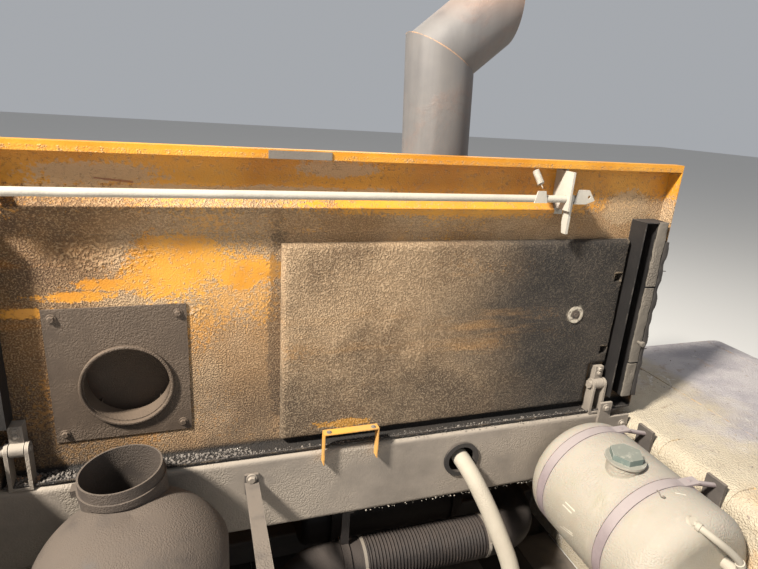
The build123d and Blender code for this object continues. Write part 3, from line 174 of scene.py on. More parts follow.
def drifting(tree, axis, clouds, swing):
    """Place along an axis, moved to and fro by clouds."""
    return place_along(tree, axis) + (clouds - 0.5) * swing


# Colours are given as red, green and blue from 0 to 255

def srgb(red, green, blue, shade=1):
    """Blender's linear colour, darkened by shade."""
    linear = []
    for channel in (red, green, blue):
        c = channel / 255
        linear.append((c / 12.92 if c <= 0.04045 else ((c + 0.055) / 1.055) ** 2.4) * shade)
    return (*linear, 1)


def mixed(share, first, second):
    """Two colours mixed; share 0 gives the first."""
    return field(share.tree, "Mix", {0: share, 6: first, 7: second}, 2, data_type="RGBA")


def laid(colour, share, over, shade=1):
    """A colour with a plain one laid on it by share."""
    return mixed(share, colour, srgb(*over, shade))


def dappled(clouds, low, high, first, second):
    """One plain colour turning to another where the clouds go from low to high."""
    return mixed(ramp(clouds, low, high), srgb(*first), srgb(*second))


# Effects that more than one finish uses

def new_group(name, inputs, outputs):
    """An empty node group with its inputs by name and value, and its outputs by name."""
    tree = bpy.data.node_groups.new(name, "ShaderNodeTree")
    for label, value in inputs.items():
        kind = "NodeSocketVector" if isinstance(value, tuple) else "NodeSocketFloat"
        tree.interface.new_socket(label, in_out="INPUT", socket_type=kind).default_value = value
    for label in outputs:
        kind = "NodeSocketColor" if label == "Colour" else "NodeSocketFloat"
        tree.interface.new_socket(label, in_out="OUTPUT", socket_type=kind)
    given = {socket.name: Field(socket) for socket in tree.nodes.new("NodeGroupInput").outputs}
    return tree, given, tree.nodes.new("NodeGroupOutput").inputs


def effect(tree, group, **values):
    """The outputs of a placed node group."""
    made = tree.nodes.new("ShaderNodeGroup")
    made.node_tree = group
    feed(made.inputs, **values)
    return {socket.name: Field(socket) for socket in made.outputs}


def make_stone_crust():
    """Stone dust caked to grains, in patches."""
    tree, given, out = new_group("stone_crust", {"Cover": 0.5, "Patches": 3.0, "Grains": 190.0},
                                 ("Mask", "Height"))
    low = 0.92 - given["Cover"]
    mask = ramp(cloud(tree, given["Patches"], 6.0, 0.62), low, low + 0.17)
    inputs = {"Vector": place(tree), "Scale": given["Grains"], "Smoothness": 0.3}
    pebbles = field(tree, "TexVoronoi", inputs, "Distance", feature="SMOOTH_F1")
    pits = ramp(cloud(tree, given["Grains"] * 0.9, 1.5, 0.5), 0.38, 0.6)
    lumps = pits * 0.85 - pebbles * 0.55
    feed(out, Mask=mask, Height=lumps * (mask * 0.85 + 0.15))
    return tree


def make_settled_dust():
    """Fine dust on what faces up, and a film of it elsewhere."""
    tree, given, out = new_group("settled_dust", {"Film": 0.3, "Top": 0.9}, ("Mask",))
    facing = field(tree, "SeparateXYZ", {0: field(tree, "TexCoord", output="Normal")}, "Z")
    top = ramp(facing, 0.1, 0.75) * given["Top"]
    film = ramp(cloud(tree, 5.0, 8.0, 0.65), 0.3, 0.72) * given["Film"]
    feed(out, Mask=larger(film, top * ramp(cloud(tree, 16.0, 6.0), 0.15, 0.5)))
    return tree


def make_edge_wear():
    """Broken line along the edges, where the finish has rubbed off."""
    tree, given, out = new_group("edge_wear", {"Width": 0.004, "Break": 30.0}, ("Mask",))
    rounded = field(tree, "Bevel", {"Radius": given["Width"]}, samples=4)
    turn = vector_math("DOT_PRODUCT", rounded, field(tree, "NewGeometry", output="Normal"), "Value")
    broken = ramp(cloud(tree, given["Break"], 7.0, 0.7), 0.47, 0.6)
    feed(out, Mask=ramp(turn, 0.995, 0.86) * broken)
    return tree


def make_soft_spot():
    """A patch with a ragged edge round a place."""
    tree, given, out = new_group("soft_spot", {"Centre": (0, 0, 0), "Size": (1, 1, 1), "Ragged": 0.5},
                                 ("Mask",))
    away = vector_math("SUBTRACT", place(tree), given["Centre"])
    reach = vector_math("LENGTH", vector_math("DIVIDE", away, given["Size"]), output="Value")
    rough = (cloud(tree, 8.0, 9.0, 0.72) - 0.5) * given["Ragged"]
    specks = (cloud(tree, 120.0, 3.0, 0.6) - 0.5) * 1.5
    feed(out, Mask=ramp(reach + (rough * 1.7 + specks), 1.02, 0.7))
    return tree


def make_scratch():
    """A thin broken line from one place to another."""
    tree, given, out = new_group("scratch", {"Start": (0, 0, 0), "Run": (1, 0, 0), "Width": 0.003},
                                 ("Mask",))
    run = given["Run"]
    away = vector_math("SUBTRACT", place(tree), given["Start"])
    share = vector_math("DOT_PRODUCT", away, run, "Value") / vector_math("DOT_PRODUCT", run, run, "Value")
    share = field(tree, "Clamp", {"Value": share})
    foot = field(tree, "VectorMath", {0: run, "Scale": share}, operation="SCALE")
    wavy = vector_math("DISTANCE", away, foot, "Value") + (cloud(tree, 60.0, 4.0) - 0.5) * 0.004
    feed(out, Mask=ramp(wavy, given["Width"], given["Width"] * 0.4))
    return tree


def make_rust_bloom():
    """Brown rust in blotches, with its colour and relief."""
    tree, given, out = new_group("rust_bloom", {"Amount": 0.4, "Blotches": 9.0},
                                 ("Mask", "Colour", "Height"))
    low = 0.85 - given["Amount"]
    mask = ramp(cloud(tree, given["Blotches"], 9.0, 0.68, bend=0.6), low, low + 0.16)
    colour = dappled(cloud(tree, 60.0, 6.0), 0.35, 0.65, (92, 52, 34), (140, 84, 50))
    feed(out, Mask=mask, Colour=colour, Height=cloud(tree, 240.0, 4.0) * mask)
    return tree


crust = make_stone_crust()
settled = make_settled_dust()
wear = make_edge_wear()
spot = make_soft_spot()
scratch = make_scratch()
rust = make_rust_bloom()


def caked_dust(tree, cover, patches, grains):
    return effect(tree, crust, Cover=cover, Patches=patches, Grains=grains)


def dust_film(tree, film, top):
    return effect(tree, settled, Film=film, Top=top)["Mask"]


def worn_edge(tree, width, gaps):
    return effect(tree, wear, Width=width, Break=gaps)["Mask"]


def patch(tree, centre, reach, ragged):
    """A soft spot round a bay place; its reach is in metres."""
    return effect(tree, spot, Centre=tuple(bay(*centre)), Size=reach, Ragged=ragged)["Mask"]


def patches_of(tree, table):
    return reduce(larger, [patch(tree, *row) for row in table])


def scratched(tree, start, run, width):
    """A scratch from a bay place; its run is in metres."""
    return effect(tree, scratch, Start=tuple(bay(*start)), Run=run, Width=width)["Mask"]


# Finishes

def new_finish(name):
    """A new material's node tree and the inputs of its shader."""
    finish = bpy.data.materials.new(name)
    finish.use_nodes = True
    return finish.node_tree, finish.node_tree.nodes["Principled BSDF"].inputs


def raised(shader, height, depth, strength=0.8):
    """Feeds a height times depth in metres to the shader's normal."""
    bump = field(height.tree, "Bump", {"Height": height, "Distance": depth, "Strength": strength})
    put(bump, shader["Normal"])


DUST_TAN = (158, 138, 114)
# Patches on the door's inner side: centre, reach and raggedness
PAINT_KEPT = (((-45, 0, 522), (0.15, 0.5, 0.085), 1.0), ((100, 0, 500), (0.12, 0.5, 0.05), 1.5),
              ((420, 0, 752), (2.2, 0.5, 0.07), 0.2), ((720, -20, 679), (0.55, 0.5, 0.04), 0.5),
              ((-267, 0, 457), (0.10, 0.5, 0.016), 1.2), ((-365, 0, 422), (0.08, 0.5, 0.014), 1.2),
              ((-190, 0, 482), (0.09, 0.5, 0.018), 1.2), ((1180, 0, 740), (0.2, 0.5, 0.05), 0.5),
              ((372, -25, 62), (0.09, 0.5, 0.02), 1.6))
GREY_FILM = (((-200, 0, 733), (0.15, 0.5, 0.03), 1.0), ((1220, 0, 668), (0.09, 0.5, 0.055), 0.9),
             ((330, 0, 757), (0.10, 0.5, 0.022), 1.0), ((60, 0, 700), (0.5, 0.5, 0.014), 1.4))
GRAVEL = (((-215, 0, 555), (0.11, 0.5, 0.055), 0.9), ((-60, 0, 400), (0.10, 0.5, 0.04), 1.0))
DOOR_SCRATCH = ((-200, 0, 723), (0.073, 0, -0.008), 0.0035)


def make_hood_paint():
    """Orange-yellow enamel: clean on a band and some patches of the door's inner side, caked elsewhere."""
    tree, shader = new_finish("hood_paint")
    colour = dappled(cloud(tree, 5.0, 6.0), 0.35, 0.65, (180, 116, 2), (203, 140, 12))
    colour = laid(colour, ramp(cloud(tree, 11.0, 8.0, 0.7), 0.5, 0.75) * 0.3, (176, 138, 70))
    colour = laid(colour, dust_film(tree, 0.3, 0.3) * 0.32, DUST_TAN)
    upward = place_along(tree, "Z")
    inner = bay_ramp(place_along(tree, "Y"), "Y", 2.2, 0.8) * bay_ramp(upward, "Z", 793, 789)
    caked = caked_dust(tree, 0.74, 3.6, 280.0)
    gravel = caked_dust(tree, 0.9, 5.0, 150.0)
    coarse = patches_of(tree, GRAVEL) * inner
    kept = patches_of(tree, PAINT_KEPT) * ramp(cloud(tree, 95.0, 5.0, 0.6), 0.28, 0.5, 0.35, 0.92)
    specks = cloud(tree, 110.0, 4.0, 0.6) * 0.6 + cloud(tree, 3.2, 6.0, 0.6) * 0.7
    cover = larger(caked["Mask"], 0.5) * inner * (1.0 - kept) * ramp(specks, 0.76, 0.7, 0.45, 1.0)
    # Towards the door's front end the dirt turns dark: partly soil, partly painted shadow.
    left = bay_ramp(drifting(tree, "X", cloud(tree, 4.0, 7.0, 0.62), 0.6), "X", -90, -330)
    sand = dappled(cloud(tree, 3.0, 6.0, 0.6), 0.35, 0.62, (142, 112, 80), (166, 142, 114))
    soil_and_painted_shadow = dappled(cloud(tree, 7.0, 8.0, 0.7), 0.38, 0.62, (70, 54, 42), (110, 82, 54))
    streaks = ramp(cloud(tree, 10.0, 7.0, 0.65, stretched(tree, 0.2, 1, 1)), 0.56, 0.68)
    dirt = laid(mixed(left, sand, soil_and_painted_shadow), streaks * left * 0.5, (168, 106, 20))
    colour = mixed(cover * 0.93, colour, dirt)
    colour = laid(colour, patches_of(tree, GREY_FILM) * inner * 0.8, (168, 142, 110))
    # Darker towards the foot of the door's inner side.
    lower_darkening = bay_ramp(upward, "Z", 360, 80) * inner * ramp(cloud(tree, 5.0, 7.0), 0.26, 0.55)
    colour = laid(colour, lower_darkening * 0.75, (72, 60, 50))
    # Painted shade: a dark strip on the door along the pad's left edge.
    pad_edge_shade = patch(tree, (190, 0, 330), (0.03, 0.5, 0.3), 1.2)
    colour = laid(colour, pad_edge_shade * inner * 0.55, (52, 42, 36))
    height = field(tree, "Mix", {0: coarse, 2: caked["Height"], 3: gravel["Height"]}, data_type="FLOAT")
    rough_cover = larger(cover, coarse)
    # Painted shade in the pits of the relief, and painted highlight on the tops of its grains.
    colour = laid(colour, ramp(height, 0.12, -0.2) * rough_cover * 0.28, (62, 48, 36))
    colour = laid(colour, ramp(height, 0.34, 0.6) * cover * 0.2, (206, 178, 140))
    colour = laid(colour, bay_ramp(upward, "Z", 34, 16) * inner * 0.95, (20, 19, 19))
    colour = laid(colour, scratched(tree, *DOOR_SCRATCH) * inner * 0.7, (112, 52, 28))
    chips = worn_edge(tree, 0.0045, 26.0)
    feed(shader, Base_Color=laid(colour, chips * 0.75, (112, 96, 76)), Roughness=cover * 0.45 + 0.46)
    raised(shader, height * (rough_cover + 0.03) - chips * 0.3, 0.0030, 0.9)


def make_bracket_yellow():
    """Rubbed yellow enamel of the guard loop."""
    tree, shader = new_finish("bracket_yellow")
    film = dust_film(tree, 0.45, 0.25)
    worn = worn_edge(tree, 0.003, 30.0)
    colour = dappled(cloud(tree, 14.0, 7.0, 0.65), 0.35, 0.65, (206, 146, 40), (190, 138, 62))
    colour = laid(laid(colour, film * 0.55, DUST_TAN), worn, (96, 80, 62))
    feed(shader, Base_Color=colour, Roughness=film * 0.3 + 0.5)
    raised(shader, cloud(tree, 160.0, 4.0) - worn, 0.0008, 0.6)


def make_box_dust():
    """Paint that shows only where the thick pale dust has broken off."""
    tree, shader = new_finish("box_dust")
    paint = dappled(cloud(tree, 3.0, 6.0), 0.4, 0.6, (194, 128, 40), (166, 118, 62))
    caked = caked_dust(tree, 0.7, 4.0, 190.0)
    cream = dappled(cloud(tree, 2.4, 8.0, 0.6), 0.36, 0.62, (172, 160, 140), (152, 140, 121))
    lilac = dappled(cloud(tree, 5.0, 8.0, 0.65), 0.4, 0.6, (164, 157, 156), (143, 137, 139))
    rearward = drifting(tree, "X", cloud(tree, 1.8, 7.0, 0.65), 1.4)
    dirt = mixed(bay_ramp(rearward, "X", 1480, 1760), cream, lilac)
    flakes = ramp(cloud(tree, 22.0, 8.0, 0.75, bend=0.8), 0.53, 0.6)
    flakes = flakes * ramp(cloud(tree, 2.6, 6.0, 0.6), 0.46, 0.58)
    dirt = laid(dirt, flakes * 0.8, (200, 192, 184))
    dirt = laid(dirt, ramp(cloud(tree, 48.0, 6.0, 0.7), 0.6, 0.72), (112, 98, 92))
    dirt = laid(dirt, ramp(cloud(tree, 6.0, 8.0, 0.7, bend=0.5), 0.6, 0.68) * 0.6, (120, 100, 82))
    near = bay_ramp(drifting(tree, "Y", cloud(tree, 3.0, 7.0), 0.5), "Y", -380, -620)
    dirt = laid(dirt, near * ramp(cloud(tree, 4.0, 8.0, 0.7), 0.46, 0.6) * 0.5, (176, 136, 86))
    colour = mixed(larger(caked["Mask"], dust_film(tree, 0.85, 1.0) * 0.9), paint, dirt)
    colour = laid(colour, worn_edge(tree, 0.005, 18.0) * 0.6, (198, 146, 60))
    feed(shader, Base_Color=colour, Roughness=0.92)
    raised(shader, caked["Height"] + flakes * 0.8, 0.0034)


def make_dusty_steel(name, base, dust, cover, grains, edge):
    """Painted or bare steel under dust, rubbed on its edges."""
    tree, shader = new_finish(name)
    film = dust_film(tree, cover, 0.95)
    caked = caked_dust(tree, cover * 0.8, 5.0, grains)
    colour = mixed(ramp(cloud(tree, 7.0, 7.0, 0.65), 0.3, 0.7), srgb(*base), srgb(*base, 0.72))
    colour = laid(colour, film * 0.85, dust)
    colour = laid(colour, caked["Mask"] * 0.5, dust, 0.8)
    colour = laid(colour, worn_edge(tree, 0.003, 34.0) * 0.7, edge)
    feed(shader, Base_Color=colour, Roughness=film * 0.35 + 0.55)
    raised(shader, caked["Height"], 0.0016, 0.7)


def make_stack_finish():
    """Grey sheet, browned by heat, with rust along its cut rim."""
    tree, shader = new_finish("browned_stack")
    bloom = effect(tree, rust, Amount=0.36, Blotches=5.0)
    film = dust_film(tree, 0.5, 0.6)
    brushed = cloud(tree, 26.0, 5.0, 0.6, stretched(tree, 1, 1, 0.06))
    colour = mixed(brushed, srgb(88, 86, 86), srgb(118, 115, 114))
    colour = mixed(bloom["Mask"] * 0.16, colour, bloom["Colour"])
    colour = laid(colour, film * 0.45, (142, 135, 127))
    colour = laid(colour, bay_ramp(place_along(tree, "Z"), "Z", 1120, 1330) * 0.5, (184, 134, 100))
    colour = laid(colour, worn_edge(tree, 0.004, 20.0), (196, 148, 104))
    feed(shader, Base_Color=colour, Metallic=0.35, Roughness=film * 0.3 + 0.5)
    raised(shader, bloom["Height"], 0.0012, 0.6)


WASHER = bay(1085, -28, 345)
PAD_SCRATCHES = (((1029, -30, 345), (0.018, 0, 0.036), 0.0032),
                 ((1047, -30, 381), (0.042, 0, 0.022), 0.0032))


def round_washer(tree, grain, swing):
    """Distance from the pad's washer, moved to and fro by clouds."""
    away = vector_math("MULTIPLY", vector_math("SUBTRACT", place(tree), tuple(WASHER)), (1, 0, 1))
    return vector_math("LENGTH", away, output="Value") + (cloud(tree, grain, 5.0) - 0.5) * swing


def make_pad_foam():
    """Foam skin: sandy grains on its left, dark with painted shade on its right and foot, with rubbed
    streaks across.
    """
    tree, shader = new_finish("pad_foam_skin")
    wander = cloud(tree, 3.0, 8.0, 0.6)
    # Painted shade: the foam turns dark towards its right and its foot.
    dark = bay_ramp(drifting(tree, "X", wander, 0.7), "X", 470, 980)
    low = bay_ramp(drifting(tree, "Z", wander, 0.35), "Z", 330, 70)
    sandy = dappled(cloud(tree, 6.0, 8.0, 0.65), 0.35, 0.62, (116, 93, 68), (154, 128, 98))
    painted_shade_dark = dappled(cloud(tree, 7.0, 8.0, 0.65), 0.35, 0.65, (28, 24, 22), (54, 47, 41))
    colour = mixed(larger(dark, low * 0.6), sandy, painted_shade_dark)
    streaks = ramp(cloud(tree, 9.0, 7.0, 0.65, stretched(tree, 0.16, 1, 1)), 0.5, 0.68)
    rubbed = patch(tree, (560, -25, 340), (0.45, 0.5, 0.19), 0.9)
    colour = laid(colour, streaks * rubbed * 0.5, (168, 124, 72))
    colour = laid(colour, patch(tree, (372, -25, 62), (0.08, 0.5, 0.014), 1.9) * 0.85, (186, 132, 44))
    # Pale broken rim along the pad's edges: partly dust, partly painted highlight.
    colour = laid(colour, worn_edge(tree, 0.011, 14.0) * 0.6, (184, 160, 128))
    for row in PAD_SCRATCHES:
        colour = laid(colour, scratched(tree, *row), (20, 18, 18))
    grain = caked_dust(tree, 0.8, 6.0, 270.0)["Height"]
    # Painted shade in the pits of the grain, and painted highlight on the grains' tops, weaker where the
    # painted shade darkens the right.
    colour = laid(colour, ramp(grain, 0.14, -0.2) * 0.3, (42, 35, 30))
    colour = laid(colour, ramp(grain, 0.3, 0.58) * (0.22 - dark * 0.14), (184, 166, 140))
    smear = ramp(round_washer(tree, 45.0, 0.024), 0.034, 0.024)
    smear = smear * ramp(cloud(tree, 70.0, 6.0, 0.7), 0.38, 0.56)
    feed(shader, Base_Color=laid(colour, smear * 0.75, (158, 148, 132)), Roughness=0.9)
    raised(shader, grain, 0.0036, 0.9)


def make_washer_smear():
    """Dark washer with a smeared pale ring."""
    tree, shader = new_finish("washer_smear")
    reach = round_washer(tree, 50.0, 0.018)
    ring = ramp(reach, 0.013, 0.019) * ramp(reach, 0.031, 0.024)
    ring = ring * ramp(cloud(tree, 70.0, 6.0, 0.7), 0.3, 0.5)
    colour = dappled(cloud(tree, 90.0, 5.0), 0.4, 0.6, (52, 46, 42), (84, 73, 64))
    feed(shader, Base_Color=laid(colour, ring * 0.9, (176, 166, 150)), Roughness=0.85)
    raised(shader, cloud(tree, 150.0, 3.0) + ring * 0.5, 0.003)


def make_plain_dusty(name, base, second, dust, film, rough, bump, grains):
    """Moulding or rubber with a film of dust, thicker on top. More can be laid on the colour it gives."""
    tree, shader = new_finish(name)
    mask = dust_film(tree, film, 0.9)
    caked = caked_dust(tree, film * 0.8, 7.0, grains)
    colour = dappled(cloud(tree, 6.0, 7.0, 0.6), 0.3, 0.7, base, second)
    colour = laid(laid(colour, mask * 0.75, dust), caked["Mask"] * 0.35, dust)
    feed(shader, Base_Color=colour, Roughness=mask * (0.9 - rough) + rough)
    raised(shader, caked["Height"], bump, 0.7)
    return tree, shader, colour


TANK_STRAPS = (-143, -402)
TANK_SCRATCHES = (((980, -253, -140), (0, -0.038, 0.002)), ((977, -247, -153), (0, -0.037, 0.002)),
                  ((984, -249, -230), (-0.004, -0.056, 0.018)),
                  ((982, -262, -218), (-0.003, -0.040, 0.012)), ((1152, -440, 5), (0.02, -0.012, 0)))


def make_tank_plastic():
    """Cream moulding, a little see-through, with lilac dust beside the straps and pale scratches."""
    tree, shader, colour = make_plain_dusty("tank_moulding", (150, 142, 128), (138, 130, 116),
                                            (148, 140, 129), 0.6, 0.5, 0.0016, 210.0)
    colour = laid(colour, ramp(cloud(tree, 5.0, 7.0, 0.65), 0.52, 0.7) * 0.4, (134, 130, 104))
    streaks = ramp(cloud(tree, 16.0, 7.0, 0.65, stretched(tree, 1, 1, 0.25)), 0.55, 0.7)
    colour = laid(colour, streaks * 0.4, (160, 152, 140))
    gaps = [abs(place_along(tree, "Y") - bay_along("Y", strap)) for strap in TANK_STRAPS]
    bands = reduce(larger, [ramp(gap + cloud(tree, 14.0, 6.0) * 0.03, 0.05, 0.02) for gap in gaps])
    colour = laid(colour, bands * 0.55, (134, 118, 122))
    for start, run in TANK_SCRATCHES:
        colour = laid(colour, scratched(tree, start, run, 0.0028) * 0.8, (196, 188, 172))
    feed(shader, Base_Color=colour, Subsurface_Weight=0.1, Subsurface_Scale=0.02)


CAP_FLANGE = (16.5, 19.5)


def make_cap_finish():
    """Grey-green cap rubbed pale on its edges, on a flange under dust."""
    tree, shader, colour = make_plain_dusty("cap_green", (76, 92, 88), (104, 114, 108), (124, 122, 112),
                                            0.35, 0.45, 0.0010, 260.0)
    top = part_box("filler_cap")[1].z
    flange = ramp(place_along(tree, "Z"), top - mm(CAP_FLANGE[0]), top - mm(CAP_FLANGE[1]))
    colour = mixed(flange, colour, mixed(cloud(tree, 30.0, 6.0), srgb(126, 120, 110), srgb(150, 144, 132)))
    colour = laid(colour, ramp(cloud(tree, 34.0, 7.0, 0.7), 0.55, 0.66) * 0.45, (164, 160, 148))
    feed(shader, Base_Color=laid(colour, worn_edge(tree, 0.0035, 24.0) * 0.8, (172, 170, 160)))


def make_speckled_rubber():
    """Black rubber with pale crumbs stuck to it."""
    tree, shader = new_finish("speckled_rubber")
    crumbs = ramp(cloud(tree, 130.0, 5.0, 0.7), 0.55, 0.64)
    colour = mixed(dust_film(tree, 0.4, 0.7) * 0.5, srgb(30, 28, 28), srgb(96, 86, 78))
    feed(shader, Base_Color=laid(colour, crumbs * 0.6, (190, 182, 176)), Roughness=0.85)
    raised(shader, crumbs, 0.002)


# Colour, dust's colour, how much dust, its grains, and the colour of rubbed edges
DUSTY_STEELS = {
    "beam_grey": ((124, 115, 106), (148, 137, 124), 0.6, 230.0, (186, 176, 162)),
    "frame_grey": ((74, 69, 66), (106, 96, 86), 0.5, 230.0, (136, 126, 114)),
    "pale_zinc": ((172, 166, 156), (170, 160, 144), 0.4, 220.0, (124, 114, 100)),
    "dull_zinc": ((112, 105, 98), (120, 110, 98), 0.5, 200.0, (70, 64, 58)),
    "strap_lilac": ((134, 120, 122), (144, 134, 131), 0.4, 240.0, (72, 62, 62)),
    "duct_brown": ((70, 58, 48), (92, 77, 63), 0.65, 290.0, (118, 102, 88)),
    "soot_brown": ((32, 27, 26), (58, 50, 45), 0.4, 230.0, (86, 72, 64)),
    "seal_black": ((24, 22, 22), (52, 46, 42), 0.25, 180.0, (110, 102, 94)),
}
# Two colours, dust's colour, how much dust, roughness, relief in metres and grains
PLAIN_DUSTY = {
    # The canister's colours hold painted shadow on top of its own dark moulding.
    "canister_moulding": ((46, 41, 39), (64, 56, 51), (86, 75, 65), 0.7, 0.6, 0.0013, 340.0),
    "hose_skin": ((156, 149, 136), (142, 133, 120), (158, 149, 134), 0.5, 0.7, 0.0008, 260.0),
    "dark_rubber": ((28, 26, 26), (42, 38, 36), (76, 68, 61), 0.35, 0.75, 0.0018, 200.0),
    "foam_strip": ((80, 75, 69), (102, 95, 86), (120, 111, 100), 0.55, 0.9, 0.0032, 170.0),
    "pale_crumbs": ((150, 143, 134), (104, 97, 91), (140, 130, 118), 0.4, 0.9, 0.001, 300.0),
    "grey_grit": ((96, 91, 87), (52, 48, 46), (112, 104, 96), 0.3, 0.8, 0.001, 300.0),
}
make_hood_paint()
make_box_dust()
for steel, row in DUSTY_STEELS.items():
    make_dusty_steel(steel, *row)
make_stack_finish()
make_pad_foam()
make_washer_smear()
make_bracket_yellow()
for moulding, row in PLAIN_DUSTY.items():
    make_plain_dusty(moulding, *row)
make_cap_finish()
make_tank_plastic()
make_speckled_rubber()

FINISH_OF_SLOT = {
    "yellow_paint": "hood_paint", "dusty_paint": "box_dust", "grey_steel": "frame_grey",
    "bare_steel": "dull_zinc", "stack_steel": "browned_stack", "dark_foam": "dark_rubber",
    "pad_foam": "pad_foam_skin", "hose_rubber": "hose_skin", "canister_plastic": "canister_moulding",
    "tank_plastic": "tank_moulding", "cap_plastic": "cap_green",
}
# Nodes whose finish isn't their slot's
NODES_OF_FINISH = {
    "beam_grey": ("centre_beam", "beam_end_plate", "hinge_straps", "hinge_lugs", "hinge_pins"),
    "duct_brown": ("duct_plate", "duct_collar", "inlet_head"),
    "soot_brown": ("exhaust_pipe", "exhaust_bellows", "muffler", "muffler_hangers", "pipe_hanger"),
    "pale_zinc": ("latch_rod", "latch_lever", "latch_bracket", "rod_guide"),
    "canister_moulding": ("neck_clamp", "cover_clamp"),
    "washer_smear": ("pad_washer",),
    "dark_rubber": ("belly_guard",),
    "strap_lilac": ("tank_straps",),
    "hose_skin": ("tank_outlet",),
    "seal_black": ("seal_channels",),
    "bracket_yellow": ("guard_bracket",),
}


def dress_frame():
    own_finish = {name: finish for finish, names in NODES_OF_FINISH.items() for name in names}
    for part in frame["record"]["subparts"]:
        finish = own_finish.get(part["node"], FINISH_OF_SLOT[part["material_slot"]])
        mesh = frame["nodes"][part["node"]].data
        mesh.materials.clear()
        mesh.materials.append(bpy.data.materials[finish])


# Meshes

def piece(name, bm, finish, body, sharp=40):
    """The mesh as an object that moves with a body."""
    bmesh.ops.recalc_face_normals(bm, faces=bm.faces)
    mesh = bpy.data.meshes.new(name)
    bm.to_mesh(mesh)
    bm.free()
    mesh.materials.append(bpy.data.materials[finish])
    mesh.shade_smooth()
    mesh.set_sharp_from_angle(angle=math.radians(sharp))
    made = bpy.data.objects.new(name, mesh)
    bpy.context.scene.collection.objects.link(made)
    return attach(made, body) if body else made


def soft_piece(name, bm, finish, sharp, stands_for=None):
    """A padded piece on the door."""
    made = piece(name, bm, finish, "door", sharp)
    if stands_for:
        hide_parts(stands_for)


def loft(bm, rings):
    """Joins rings of points by faces and closes both ends."""
    rows = [[bm.verts.new(point) for point in ring] for ring in rings]
    for a, b in zip(rows, rows[1:]):
        for i in range(len(a)):
            j = (i + 1) % len(a)
            bm.faces.new((a[i], a[j], b[j], b[i]))
    bm.faces.new(rows[0][::-1])
    bm.faces.new(rows[-1])


def skirt(bm, axis, level):
    """Walls from an open surface's rim to a level along an axis, and a floor between them."""
    rim = [edge for edge in bm.edges if edge.is_boundary]
    for made in bmesh.ops.extrude_edge_only(bm, edges=rim)["geom"]:
        if isinstance(made, bmesh.types.BMVert):
            made.co["XYZ".index(axis)] = level
    bmesh.ops.holes_fill(bm, edges=[edge for edge in bm.edges if edge.is_boundary], sides=0)


def ring_of(centre, side, other, radius, sides):
    angles = [math.tau * k / sides for k in range(sides)]
    return [centre + side * (radius * math.cos(a)) + other * (radius * math.sin(a)) for a in angles]


def tube(bm, path, radius, sides=8):
    """A round bar along points, its ring carried on from each point to the next."""
    side = None
    rings = []
    for i, point in enumerate(path):
        ahead = (path[min(i + 1, len(path) - 1)] - path[max(i - 1, 0)]).normalized()
        side = ahead.orthogonal() if side is None else side - ahead * side.dot(ahead)
        side = side.normalized()
        rings.append(ring_of(point, side, ahead.cross(side), radius, sides))
    loft(bm, rings)


def turned(bm, profile, where, ahead, sides=24):
    """A turned solid: profile is (distance along, radius), from where along ahead."""
    ahead = Vector(ahead).normalized()
    side = ahead.orthogonal().normalized()
    other = ahead.cross(side)
    loft(bm, [ring_of(where + ahead * along, side, other, radius, sides) for along, radius in profile])


def ring_tube(bm, profile, where, ahead, sides):
    """A turned open tube: profile is a closed loop of (distance along, radius)."""
    ahead = Vector(ahead).normalized()
    side = ahead.orthogonal().normalized()
    other = ahead.cross(side)
    rows = []
    for k in range(sides):
        angle = math.tau * k / sides
        out = side * math.cos(angle) + other * math.sin(angle)
        rows.append([bm.verts.new(where + ahead * along + out * radius) for along, radius in profile])
    for a, b in zip(rows, rows[1:] + rows[:1]):
        for i in range(len(profile)):
            j = (i + 1) % len(profile)
            bm.faces.new((a[i], b[i], b[j], a[j]))


def hex_bolt(bm, where, ahead, across):
    """Bolt head with its washer, standing on where."""
    turned(bm, ((-0.001, across * 0.86), (0.0018, across * 0.86), (0.0024, across * 0.8)), where, ahead, 20)
    head = across * 0.577
    turned(bm, ((0.001, head), (across * 0.5, head), (across * 0.6, head * 0.84)), where, ahead, 6)


def lump(bm, where, size, draw):
    """A small stone: a rough many-sided lump."""
    made = bmesh.ops.create_icosphere(bm, subdivisions=1, radius=size)["verts"]
    angle = draw.uniform(0, math.tau)
    turn = Matrix.Rotation(angle, 3, Vector((draw.uniform(-1, 1), draw.uniform(-1, 1), 1)))
    flat = Vector((draw.uniform(0.7, 1.3), draw.uniform(0.7, 1.2), draw.uniform(0.45, 0.8)))
    for vert in made:
        vert.co = where + turn @ (vert.co * draw.uniform(0.75, 1.2) * flat)


# Foam pad on the door: in metres, but for the slots, which are left, right, foot and top in bay millimetres

PAD_EDGE = 0.010
PAD_STEP = 0.011
PAD_NOTCH_X = bay_along("X", 1181)
PAD_NOTCH_Z = bay_along("Z", 166)
PAD_SLOTS = ((1206, 1234, 203, 229), (1206, 1234, 445, 471))
SLOT_FLOOR = 0.003
DIMPLE_R = 0.036
DIMPLE_DEPTH = 0.0035
PLEATS = 9
PLEAT_DEPTH = 0.0012


def close_lines(low, high, edge, step, cuts):
    """Places from low to high, close together at both ends and on each side of a cut."""
    marks = [low, high]
    for share in (0.08, 0.25, 0.55, 1.0):
        marks += [low + share * edge, high - share * edge]
    for cut in cuts:
        marks += [cut - 0.0008, cut + 0.0008]
    count = round((high - low - 2 * edge) / step)
    marks += [low + edge + (high - low - 2 * edge) * i / count for i in range(1, count)]
    lines = []
    for mark in sorted(marks):
        if not lines or mark - lines[-1] > 0.0007:
            lines.append(mark)
    return lines


